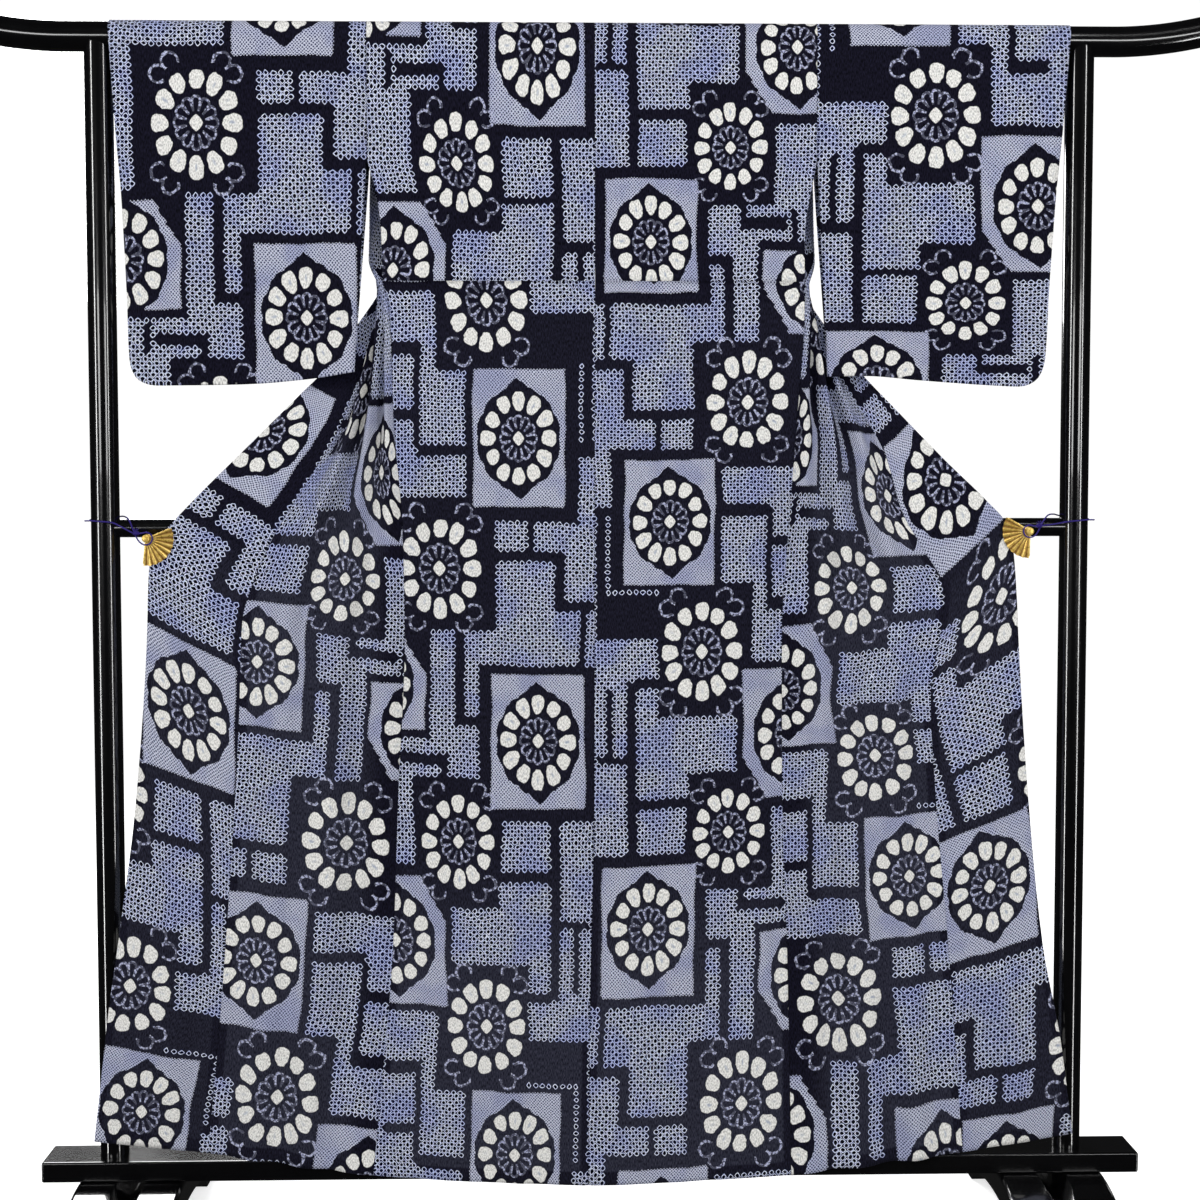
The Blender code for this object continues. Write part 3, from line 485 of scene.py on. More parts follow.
# Where each panel lies on the bolt of charted cloth, in cm: the bolt's repeat runs down y, and x is
# measured from its right selvedge. "near" is the bolt's x at across 0 and "far" at across 1
BOLT = {
    "back_left_upper": table("fall y near far", (
        (-0.0500, -46.0, 0.0, -31.0),
        (0.0470, -37.7, 0.0, -31.0),
        (0.2030, -24.7, 0.0, -31.0),
        (0.3600, -10.0, 0.0, -29.5),
    )),
    "back_left": table("fall y near far", (
        (0.3570, -2.6, 0.0, -28.8),
        (0.5630, 18.4, 0.0, -27.8),
        (0.7350, 35.8, 0.0, -26.4),
        (0.9610, 59.6, 0.0, -26.9),
        (1.2350, 85.7, 0.0, -28.5),
        (1.3440, 97.3, 0.0, -29.6),
        (1.5160, 115.7, 0.0, -30.5),
        (1.5600, 120.2, 0.0, -31.0),
    )),
    "back_right_upper": table("fall y near far", (
        (-0.0500, 193.0, 0.0, -31.0),
        (0.0470, 183.0, 0.0, -31.0),
        (0.1800, 169.9, 0.0, -31.0),
        (0.3050, 156.9, 0.0, -29.5),
        (0.3600, 151.4, 0.0, -29.5),
    )),
    "back_right": table("fall y near far", (
        (0.3570, 149.2, 0.0, -29.3),
        (0.5160, 133.1, 0.0, -28.6),
        (0.6720, 115.7, 0.0, -27.6),
        (0.8440, 97.3, 0.0, -26.6),
        (1.0860, 72.6, 0.0, -26.7),
        (1.2110, 59.6, 0.0, -27.4),
        (1.4530, 35.8, 0.0, -28.3),
        (1.5600, 25.0, 0.0, -28.8),
    )),
    "front_left": table("fall y near far", (
        (0.0450, 142.0, -31.0, -10.0),
        (0.3570, 111.0, -31.5, -7.0),
        (0.6090, 85.7, -33.0, -7.0),
        (0.7580, 72.6, -27.5, -6.0),
        (0.8810, 59.6, -28.0, -5.5),
        (1.1120, 35.8, -28.0, -6.5),
        (1.2830, 18.4, -28.1, -6.5),
        (1.4660, 0.0, -29.0, -6.5),
        (1.5600, -9.4, -29.0, -6.5),
    )),
    "front_right": table("fall y near far", (
        (0.0450, 0.0, -31.0, -10.0),
        (0.3570, 31.0, -31.5, -6.0),
        (0.7650, 72.6, -28.3, -5.8),
        (0.9010, 85.7, -28.3, -5.8),
        (0.9970, 97.3, -29.0, -6.5),
        (1.1640, 115.7, -28.3, -5.8),
        (1.3230, 133.1, -28.3, -5.8),
        (1.5600, 155.0, -28.3, -5.8),
    )),
    "okumi_left": table("fall y near far", (
        (0.2000, -24.0, -1.2, -1.5),
        (0.5940, 18.4, -2.0, -10.7),
        (0.9820, 59.6, -0.9, -14.0),
        (1.3510, 97.3, -2.8, -17.5),
        (1.5090, 115.7, -1.2, -16.5),
        (1.5600, 121.0, -1.2, -16.8),
    )),
    "okumi_right": table("fall y near far", (
        (0.2000, 65.0, -3.5, -3.8),
        (0.6600, 18.4, -4.4, -12.2),
        (0.8510, 0.0, -6.2, -17.2),
        (1.2060, -37.7, -1.6, -14.2),
        (1.5600, -74.8, -4.2, -19.8),
    )),
    "sleeve_left": table("fall y near far", (
        (-0.5000, -26.0, 0.0, -32.5),
        (0.1500, 35.8, 0.0, -32.5),
        (0.4060, 59.6, 0.0, -32.5),
        (0.5000, 68.4, 0.0, -32.5),
    )),
    "sleeve_right": table("fall y near far", (
        (-0.5000, 63.6, 0.0, -32.5),
        (0.1360, 0.0, 0.0, -32.5),
        (0.3850, -24.7, 0.0, -32.0),
        (0.4810, -36.0, 0.0, -32.0),
        (0.5000, -38.0, 0.0, -32.0),
    )),
}

# Charted cloth, in cm. Rings stand in a staggered lattice
REPEAT = 97.3
REPEAT_TOP = -1.4
RING_PITCH = 0.96
RING_ROW = 0.96
RING_REACH = 0.37
# How square a ring is, how far it strays and how uneven it is, and how near a dark band its middle may be
RING_CORNER = 0.47
RING_SQUARE = (0.9, 0.9, 0.0)
RING_STRAY = 0.08
RING_UNEVEN = 0.26
RING_NEAR = 0.8
# Soft edges of the ring and of its dark hole, by their distance from its middle
RING_INNER = (0.222, 0.272)
RING_OUTER = (0.330, 0.385)
HOLE_INNER = (0.212, 0.267)
HOLE_OUTER = (0.40, 0.45)
# Slopes of the cloth's face: where they start and end round a ring and a fine dot, and how steep they are
RING_SLOPE = (0.02, 0.32)
DOT_SLOPE = (0.03, 0.20)
RING_LEAN = 0.30
DOT_LEAN = -0.22
PETAL_LEAN = (1.3, 0.7, 0.0)
THREAD_LEAN = (0.35, 0.12, 0.0)
FINE_PITCH = 0.43
FINE_ROW = 0.46
FINE_LIGHT = (0.065, 0.155)

# Bare dark bands between the blocks of rings, by their edges as they show
BANDS = table("left top right bottom", (
    (-9.3, 2.1, -0.4, 2.9),
    (-1.2, 2.1, -0.4, 19.6),
    (-2.9, 19.4, 0.4, 20.4),
    (-9.2, 2.9, -1.0, 8.0),
    (-9.2, 28.9, -8.5, 34.4),
    (-14.9, 33.7, -4.6, 34.6),
    (-5.2, 33.8, -4.6, 41.4),
    (-5.1, 40.4, 0.8, 41.4),
    (-1.9, 41.2, -1.4, 49.8),
    (-13.3, 76.5, -5.2, 77.2),
    (-5.6, 69.4, -5.0, 93.0),
    (-5.0, 82.6, -0.4, 83.1),
    (-2.3, 83.1, -1.9, 92.0),
    (-8.9, 92.7, -5.8, 93.5),
    (-29.1, 6.0, -25.0, 7.2),
    (-25.0, 6.0, -24.4, 19.6),
    (-29.1, 14.9, -25.1, 15.8),
    (-24.4, 19.6, -17.9, 20.5),
    (-19.0, 44.3, -18.5, 57.4),
    (-19.1, 56.6, -15.7, 57.6),
    (-26.7, 61.8, -20.7, 62.9),
    (-21.2, 61.8, -20.6, 64.9),
    (-28.2, 60.4, -27.7, 63.9),
))
# Black patches behind the open flowers
PATCHES = table("left top right bottom", (
    (-21.9, -8.4, -9.0, 9.2),
    (-21.9, 88.9, -9.0, 106.5),
    (-29.2, 26.5, -14.0, 44.0),
    (-24.7, 64.9, -13.2, 77.0),
    (-24.7, 76.5, -13.4, 80.6),
))
# Squares of fine dots round the framed flowers, and the dark frame's width on each side; a cut corner
# is taken off the top right
FIELDS = table("left top right bottom frame_left frame_top frame_right frame_bottom corner", (
    (-16.8, 9.2, -4.2, 27.4, 1.1, 0.6, 1.6, 1.6, 0),
    (-14.2, 50.5, -1.5, 68.1, 1.4, 1.2, 1.4, 1.5, 0),
    (-38.0, 45.1, -23.6, 58.5, 1.2, 1.1, 0.7, 0.9, 1),
    (-34.8, 77.1, -21.0, 94.7, 1.2, 1.1, 0.8, 1.2, 1),
))
CORNER_WIDE = 3.5
CORNER_HIGH = 5.5
# Flowers: middle, the ellipse through the petals' middles, and whether it is framed
FLOWERS = table("x y wide high framed", (
    (-15.1, 0.0, 4.57, 5.50, 0),
    (-15.1, 97.3, 4.57, 5.50, 0),
    (-21.4, 35.8, 4.50, 5.45, 0),
    (-18.9, 72.6, 4.03, 4.57, 0),
    (-10.6, 18.4, 4.16, 4.97, 1),
    (-7.8, 59.6, 4.16, 4.97, 1),
    (-31.0, 52.4, 4.16, 4.97, 1),
    (-28.2, 85.7, 4.16, 4.97, 1),
))
# Petals, in shares of the flower's ellipse: half length, half width and how much wider they get outwards
PETALS = 12
PETAL_LONG = 0.245
PETAL_WIDE = 0.203
PETAL_WIDENING = 0.16
PETAL_UNEVEN = 0.07
PETAL_STRAY = 0.05
PETAL_POWERS = (2.1, 2.6)
PETAL_EDGE = (0.90, 1.08)
FLOWER_WOBBLE = 0.085
# Eye of the flower, and the looped chain between it and the petals
EYE_HALVES = (0.185, 0.19)
EYE_POWER = 1.35
EYE_EDGE = (0.92, 1.08)
LOOP_START = 0.49
LOOP_LONG = 0.115
LOOP_WIDENING = 0.20
LOOP_ROOT = 0.008
LOOP_LINE = (0.20, 0.35)
LOOP_CLEAR = (0.25, 0.29)
# Curls at the corners of an open flower's patch, in cm: middle and the side that is open
CURL_SPAN = (4.57, 5.50, 0.0)
CURLS = (((4.8, 6.1, 0.0), (-1.0, 0.1, 0.0)), ((3.3, 7.7, 0.0), (-0.45, -0.9, 0.0)))
CURL_RADIUS = 1.08
CURL_LINE = (0.15, 0.22)
CURL_GAP = 0.62
BEAD_SCALE = 2.7
BEAD_EDGE = (0.36, 0.58)
BEAD_DIM = 0.16
# Dark outline of a framed flower: reach, scallops, and the height, slope and slant of its points
OUTLINE_REACH = 1.35
OUTLINE_SCALLOP = 0.06
OUTLINE_TIP = 0.27
OUTLINE_SLOPE = 0.75
OUTLINE_SLANT = -0.04
# Stains in the petals, and the ripple of their cloth, which is also painted as shade on the petals
STAIN_CHANCE = (0.35, 1.0)
STAIN_STRETCH = 2.4
STAIN_EDGE = (0.02, 0.13)
RIPPLE_SCALES = (7.5, 3.2, 1.0)
RIPPLE_EDGE = (0.28, 0.66)


def camera():
    """Camera at the photograph's viewing angle: level, then pitched down, turned and rolled a little."""
    data = bpy.data.cameras.new("camera")
    data.sensor_fit = "HORIZONTAL"
    data.sensor_width = SENSOR
    data.lens = FOCAL_IN_FRAMES * SENSOR
    made = bpy.data.objects.new("camera", data)
    turn = Matrix.Rotation(-CAMERA_YAW, 4, "Z") @ Matrix.Rotation(math.pi / 2 - CAMERA_PITCH, 4, "X")
    made.matrix_world = Matrix.Translation(CAMERA_PLACE) @ turn @ Matrix.Rotation(CAMERA_ROLL, 4, "Z")
    bpy.context.scene.collection.objects.link(made)
    bpy.context.scene.camera = made


class Nodes:
    """Adds nodes to a tree and returns the socket that each puts out."""

    def __init__(self, tree):
        self.tree = tree

    def add(self, kind, **settings):
        made = self.tree.nodes.new(kind)
        for name, value in settings.items():
            setattr(made, name, value)
        return made

    def feed(self, socket, value):
        if isinstance(value, bpy.types.NodeSocket):
            self.tree.links.new(value, socket)
        else:
            socket.default_value = value

    def math(self, operation, *values, clamp=False):
        made = self.add("ShaderNodeMath", operation=operation, use_clamp=clamp)
        for socket, value in zip(made.inputs, values):
            self.feed(socket, value)
        return made.outputs[0]

    def plus(self, first, second):
        return self.math("ADD", first, second)

    def minus(self, first, second):
        return self.math("SUBTRACT", first, second)

    def times(self, first, second):
        return self.math("MULTIPLY", first, second)

    def over(self, first, second):
        return self.math("DIVIDE", first, second)

    def size(self, value):
        return self.math("ABSOLUTE", value)

    def vector(self, operation, *values, out=0):
        made = self.add("ShaderNodeVectorMath", operation=operation)
        for socket, value in zip(made.inputs, values):
            self.feed(socket, value)
        return made.outputs[out]

    def scale(self, vector, factor):
        made = self.add("ShaderNodeVectorMath", operation="SCALE")
        self.feed(made.inputs[0], vector)
        self.feed(made.inputs["Scale"], factor)
        return made.outputs[0]

    def length(self, vector):
        return self.vector("LENGTH", vector, out=1)

    def parts(self, vector):
        made = self.add("ShaderNodeSeparateXYZ")
        self.feed(made.inputs[0], vector)
        return made.outputs[:]

    def join(self, *values):
        made = self.add("ShaderNodeCombineXYZ")
        for socket, value in zip(made.inputs, values):
            self.feed(socket, value)
        return made.outputs[0]

    def step(self, value, low, high, start=0.0, end=1.0):
        """Soft step from start to end as the value goes from low to high."""
        made = self.add("ShaderNodeMapRange", interpolation_type="SMOOTHSTEP")
        for socket, number in zip(made.inputs, (value, low, high, start, end)):
            self.feed(socket, number)
        return made.outputs[0]

    def colour(self, factor, first, second, blend="MIX"):
        made = self.add("ShaderNodeMix", data_type="RGBA", blend_type=blend)
        for socket, value in zip((made.inputs[0], made.inputs[6], made.inputs[7]), (factor, first, second)):
            self.feed(socket, value)
        return made.outputs[2]

    def choose(self, factor, first, second):
        made = self.add("ShaderNodeMix", data_type="VECTOR")
        for socket, value in zip((made.inputs[0], made.inputs[4], made.inputs[5]), (factor, first, second)):
            self.feed(socket, value)
        return made.outputs[1]

    def noise(self, vector, scale, detail=2.0, out=0):
        made = self.add("ShaderNodeTexNoise")
        self.feed(made.inputs["Vector"], vector)
        self.feed(made.inputs["Scale"], scale)
        self.feed(made.inputs["Detail"], detail)
        return made.outputs[out]

    def centred(self, colour):
        """Colour of a noise or of chance, brought round zero."""
        return self.vector("SUBTRACT", colour, (0.5, 0.5, 0.5))

    def chance(self, vector, out=0):
        made = self.add("ShaderNodeTexWhiteNoise")
        self.feed(made.inputs["Vector"], vector)
        return made.outputs[out]

    def use(self, group, **values):
        made = self.add("ShaderNodeGroup", node_tree=group)
        for name, value in values.items():
            self.feed(made.inputs[name], value)
        return made.outputs


def paint(code):
    """Linear colour of a hexadecimal one."""
    shares = [int(code[k:k + 2], 16) / 255 for k in (0, 2, 4)]
    return (*(s / 12.92 if s <= 0.04045 else ((s + 0.055) / 1.055)**2.4 for s in shares), 1.0)


def new_group(name, inputs, outputs):
    """Empty shader group with named sockets."""
    tree = bpy.data.node_groups.new(name, "ShaderNodeTree")
    for way, sockets in (("INPUT", inputs), ("OUTPUT", outputs)):
        for label, kind in sockets:
            tree.interface.new_socket(label, in_out=way, socket_type="NodeSocket" + kind)
    return Nodes(tree), tree.nodes.new("NodeGroupInput").outputs, tree.nodes.new("NodeGroupOutput").inputs


def on_repeat(nodes, place):
    """Place on the bolt brought back into the charted repeat."""
    x, y, _ = nodes.parts(place)
    past = nodes.math("FLOORED_MODULO", nodes.minus(y, REPEAT_TOP), REPEAT)
    return nodes.join(x, nodes.plus(past, REPEAT_TOP), 0.0)


def rectangles():
    """Every dark rectangle that rings keep out of: left, top, right, bottom."""
    rows = list(zip(*BANDS.values())) + list(zip(*PATCHES.values()))
    for left, top, right, bottom, *frame_widths, _ in zip(*FIELDS.values()):
        rows.append((left - frame_widths[0], top - frame_widths[1], right + frame_widths[2],
                     bottom + frame_widths[3]))
    return rows


def maze_group():
    """Distance in cm from the nearest dark rectangle, below zero inside one; three are worked out at once."""
    nodes, given, out = new_group("maze", [("Place", "Vector")], [("Distance", "Float")])
    x, y, _ = nodes.parts(on_repeat(nodes, given["Place"]))
    wide, high = nodes.join(x, x, x), nodes.join(y, y, y)
    rows = rectangles()
    rows += rows[-1:] * (-len(rows) % 3)
    nearest = None
    for k in range(0, len(rows), 3):
        left, top, right, bottom = np.array(rows[k:k + 3]).T
        away = []
        for place, low, end in ((wide, left, right), (high, top, bottom)):
            offset = nodes.vector("ABSOLUTE", nodes.vector("SUBTRACT", place, tuple((low + end) / 2)))
            away.append(nodes.vector("SUBTRACT", offset, tuple((end - low) / 2)))
        apart = nodes.vector("MAXIMUM", *away)
        nearest = apart if nearest is None else nodes.vector("MINIMUM", nearest, apart)
    first, second, third = nodes.parts(nearest)
    nodes.feed(out["Distance"], nodes.math("MINIMUM", nodes.math("MINIMUM", first, second), third))
    return nodes.tree


def lattice_group():
    """Middle of the nearest cell of a staggered lattice, and the place measured from it."""
    nodes, given, out = new_group("lattice", [("Place", "Vector"), ("Pitch", "Float"), ("Row", "Float")],
                                  [("Middle", "Vector"), ("Offset", "Vector")])
    x, y, _ = nodes.parts(given["Place"])
    u, v = nodes.over(x, given["Pitch"]), nodes.over(y, given["Row"])
    a = nodes.math("ROUND", nodes.plus(u, v))
    b = nodes.math("ROUND", nodes.minus(u, v))
    half = nodes.scale(nodes.join(given["Pitch"], given["Row"], 0.0), 0.5)
    middle = nodes.vector("MULTIPLY", nodes.join(nodes.plus(a, b), nodes.minus(a, b), 0.0), half)
    nodes.feed(out["Middle"], middle)
    nodes.feed(out["Offset"], nodes.vector("SUBTRACT", given["Place"], middle))
    return nodes.tree


def lean(nodes, away, reach, start, end, steepest):
    """Lean of the cloth's face away from a middle, between two reaches from it."""
    past = nodes.math("DIVIDE", nodes.math("SUBTRACT", reach, start), end - start, clamp=True)
    steep = nodes.times(past, nodes.minus(1.0, past))
    return nodes.scale(away, nodes.over(nodes.times(steep, 4 * steepest), reach))


def rings_group(maze, lattice):
    """Tied rings: how light the cloth is, whether the cell is tied, its dark hole and its face's lean."""
    nodes, given, out = new_group("rings", [("Place", "Vector")], [
        ("Line", "Float"), ("Tied", "Float"), ("Hole", "Float"), ("Lean", "Vector")])
    cell = nodes.use(lattice, Place=given["Place"], Pitch=RING_PITCH, Row=RING_ROW)
    shift = nodes.centred(nodes.chance(cell["Middle"], 1))
    away = nodes.vector("SUBTRACT", cell["Offset"], nodes.scale(shift, RING_STRAY))
    away = nodes.vector("MULTIPLY", away, (1.0, 1.0, 0.0))
    uneven = nodes.times(nodes.parts(shift)[2], RING_UNEVEN)
    away = nodes.vector("MULTIPLY", away, nodes.join(nodes.plus(uneven, 1.0),
                                                     nodes.minus(1.0, uneven), 0.0))
    corners = nodes.vector("DOT_PRODUCT", nodes.vector("ABSOLUTE", away), RING_SQUARE, out=1)
    reach = nodes.plus(nodes.times(nodes.length(away), 1 - RING_CORNER),
                       nodes.times(corners, RING_CORNER))
    band = nodes.use(maze, Place=cell["Middle"])["Distance"]
    tied = nodes.math("GREATER_THAN", band, RING_REACH * RING_NEAR)
    inner = nodes.step(reach, *RING_INNER)
    outer = nodes.step(reach, *RING_OUTER, 1.0, 0.0)
    nodes.feed(out["Line"], nodes.times(nodes.times(inner, outer), tied))
    nodes.feed(out["Tied"], tied)
    nodes.feed(out["Hole"], nodes.math("MAXIMUM", nodes.step(reach, *HOLE_INNER, 1.0, 0.0),
                                       nodes.step(reach, *HOLE_OUTER)))
    nodes.feed(out["Lean"], nodes.scale(lean(nodes, away, reach, *RING_SLOPE, RING_LEAN), tied))
    return nodes.tree


def fields_group(lattice):
    """Fine dots in the framed squares: the squares' mask, how light their cloth is and its face's lean."""
    nodes, given, out = new_group("fields", [("Place", "Vector")], [
        ("Inside", "Float"), ("Light", "Float"), ("Lean", "Vector")])
    cell = nodes.use(lattice, Place=given["Place"], Pitch=FINE_PITCH, Row=FINE_ROW)
    x, y, _ = nodes.parts(on_repeat(nodes, cell["Middle"]))
    inside = 0.0
    for left, top, right, bottom, *_, corner in zip(*FIELDS.values()):
        wide = nodes.minus(nodes.size(nodes.minus(x, (left + right) / 2)),
                           (right - left) / 2)
        high = nodes.minus(nodes.size(nodes.minus(y, (top + bottom) / 2)),
                           (bottom - top) / 2)
        apart = nodes.math("MAXIMUM", wide, high)
        if corner:
            past = nodes.minus(nodes.times(nodes.minus(x, right), 1 / CORNER_WIDE),
                               nodes.times(nodes.minus(y, top), 1 / CORNER_HIGH))
            apart = nodes.math("MAXIMUM", apart, nodes.plus(past, 1.0))
        inside = nodes.math("MAXIMUM", inside, nodes.math("LESS_THAN", apart, 0.0))
    away = nodes.vector("MULTIPLY", cell["Offset"], (1.0, 1.0, 0.0))
    reach = nodes.length(away)
    nodes.feed(out["Inside"], inside)
    nodes.feed(out["Light"], nodes.step(reach, *FINE_LIGHT))
    nodes.feed(out["Lean"], lean(nodes, away, reach, *DOT_SLOPE, DOT_LEAN))
    return nodes.tree


def nearest_flower(nodes, place):
    """Place from the nearest flower's middle, in its own ellipse; z is twice its number plus framed."""
    best, found = 1000.0, (0.0, 0.0, 0.0)
    for number, (x, y, wide, high, framed) in enumerate(zip(*FLOWERS.values())):
        local = nodes.vector("SUBTRACT", place, (x, y, 0.0))
        local = nodes.vector("MULTIPLY", local, (1 / wide, 1 / high, 0.0))
        apart = nodes.length(local)
        nearer = nodes.math("LESS_THAN", apart, best)
        found = nodes.choose(nearer, found, nodes.vector("ADD", local, (0.0, 0.0, 2.0 * number + framed)))
        best = nodes.math("MINIMUM", apart, best)
    return found, best


def rounded_square(nodes, place, halves, powers):
    """Reach of a place in a rounded shape of given half sizes: 1 on its outline."""
    along, across = (nodes.math("POWER", nodes.size(nodes.over(at, half)), power)
                     for at, half, power in zip(place, halves, powers))
    return nodes.plus(along, across)


def flowers_group():
    """Open flowers of twelve petals round a rosette of looped chain, with curls at the patch's corners."""
    nodes, given, out = new_group("flowers", [("Place", "Vector")], [
        ("Petal", "Float"), ("Chain", "Float"), ("Dark", "Float"), ("Stain", "Float"), ("RippleShade", "Float"),
        ("Lean", "Vector")])
    place = on_repeat(nodes, given["Place"])
    local, reach = nearest_flower(nodes, place)
    x, y, number = nodes.parts(local)
    framed = nodes.math("MODULO", number, 2.0)
    wobble = nodes.centred(nodes.noise(given["Place"], 1.3, 1.0, 1))
    turn = nodes.math("ARCTAN2", y, x)
    sector = 2 * math.pi / PETALS
    petal = nodes.math("ROUND", nodes.over(turn, sector))
    off = nodes.minus(turn, nodes.times(petal, sector))
    petal = nodes.math("MODULO", nodes.plus(petal, float(PETALS)), float(PETALS))
    seat = nodes.join(nodes.size(petal), number, 0.0)
    longer, further, aside = nodes.parts(nodes.centred(nodes.chance(seat, 1)))
    out_along = nodes.times(reach, nodes.math("COSINE", off))
    out_across = nodes.times(reach, nodes.math("SINE", off))
    wobble_x, wobble_y, _ = nodes.parts(nodes.scale(wobble, FLOWER_WOBBLE))
    along = nodes.minus(nodes.plus(out_along, wobble_x), nodes.plus(nodes.times(further, PETAL_STRAY), 1.0))
    across = nodes.plus(nodes.plus(out_across, wobble_y), nodes.times(aside, PETAL_STRAY))
    half_long = nodes.plus(nodes.times(longer, PETAL_UNEVEN), PETAL_LONG)
    half_wide = nodes.plus(nodes.times(along, PETAL_WIDENING), PETAL_WIDE)
    petals = nodes.step(rounded_square(nodes, (along, across), (half_long, half_wide), PETAL_POWERS),
                        *PETAL_EDGE, 1.0, 0.0)
    eye = nodes.step(rounded_square(nodes, (x, y), EYE_HALVES, (EYE_POWER, EYE_POWER)), *EYE_EDGE, 1.0, 0.0)
    nodes.feed(out["Petal"], nodes.math("MAXIMUM", petals, eye))

    loop_along = nodes.math("MAXIMUM", nodes.minus(out_along, LOOP_START), 0.0)
    loop_along = nodes.over(loop_along, LOOP_LONG)
    loop_wide = nodes.plus(nodes.times(out_along, LOOP_WIDENING), LOOP_ROOT)
    loop_across = nodes.over(out_across, loop_wide)
    loop = nodes.length(nodes.join(loop_along, nodes.plus(loop_across, wobble_y), 0.0))
    chain = nodes.step(nodes.size(nodes.minus(loop, 1.0)), *LOOP_LINE, 1.0, 0.0)
    chain = nodes.times(chain, nodes.step(reach, *LOOP_CLEAR))

    corner = nodes.vector("MULTIPLY", nodes.vector("ABSOLUTE", local), CURL_SPAN)
    corner = nodes.vector("ADD", corner, nodes.vector("MULTIPLY", wobble, (0.5, 0.5, 0.0)))
    curls = 0.0
    for middle, opening in CURLS:
        away = nodes.vector("SUBTRACT", corner, middle)
        line = nodes.step(nodes.size(nodes.minus(nodes.length(away), CURL_RADIUS)), *CURL_LINE, 1.0, 0.0)
        facing = nodes.vector("DOT_PRODUCT", nodes.vector("NORMALIZE", away), opening, out=1)
        line = nodes.times(line, nodes.math("LESS_THAN", facing, CURL_GAP))
        curls = nodes.math("MAXIMUM", curls, line)
    curls = nodes.times(curls, nodes.minus(1.0, framed))
    chain = nodes.math("MAXIMUM", chain, curls)
    bead = nodes.add("ShaderNodeTexVoronoi")
    nodes.feed(bead.inputs["Vector"], given["Place"])
    bead.inputs["Scale"].default_value = BEAD_SCALE
    beaded = nodes.step(bead.outputs["Distance"], *BEAD_EDGE, 1.0, BEAD_DIM)
    nodes.feed(out["Chain"], nodes.times(chain, beaded))

    aslant = nodes.plus(x, nodes.times(y, OUTLINE_SLANT))
    tip = nodes.minus(OUTLINE_TIP, nodes.times(nodes.size(aslant), OUTLINE_SLOPE))
    tip = nodes.math("MAXIMUM", tip, 0.0)
    scallop = nodes.times(nodes.size(nodes.math("SINE", nodes.times(turn, PETALS / 2))), OUTLINE_SCALLOP)
    edge = nodes.plus(nodes.plus(tip, scallop), OUTLINE_REACH)
    dark = nodes.math("LESS_THAN", nodes.plus(reach, wobble_x), edge)
    nodes.feed(out["Dark"], nodes.times(dark, framed))

    stained = nodes.step(nodes.chance(seat, 0), *STAIN_CHANCE)
    spot = nodes.length(nodes.join(along, nodes.times(across, STAIN_STRETCH), 0.0))
    spot = nodes.step(spot, *STAIN_EDGE, 1.0, 0.0)
    nodes.feed(out["Stain"], nodes.times(nodes.times(spot, stained), petals))
    # Ripple of the petals' cloth: it leans their face, and paints them darker as painted shade
    ripple = nodes.noise(nodes.vector("MULTIPLY", given["Place"], RIPPLE_SCALES), 1.0, 3.0)
    nodes.feed(out["RippleShade"], nodes.step(ripple, *RIPPLE_EDGE))
    nodes.feed(out["Lean"], nodes.scale(PETAL_LEAN, nodes.minus(ripple, 0.5)))
    return nodes.tree


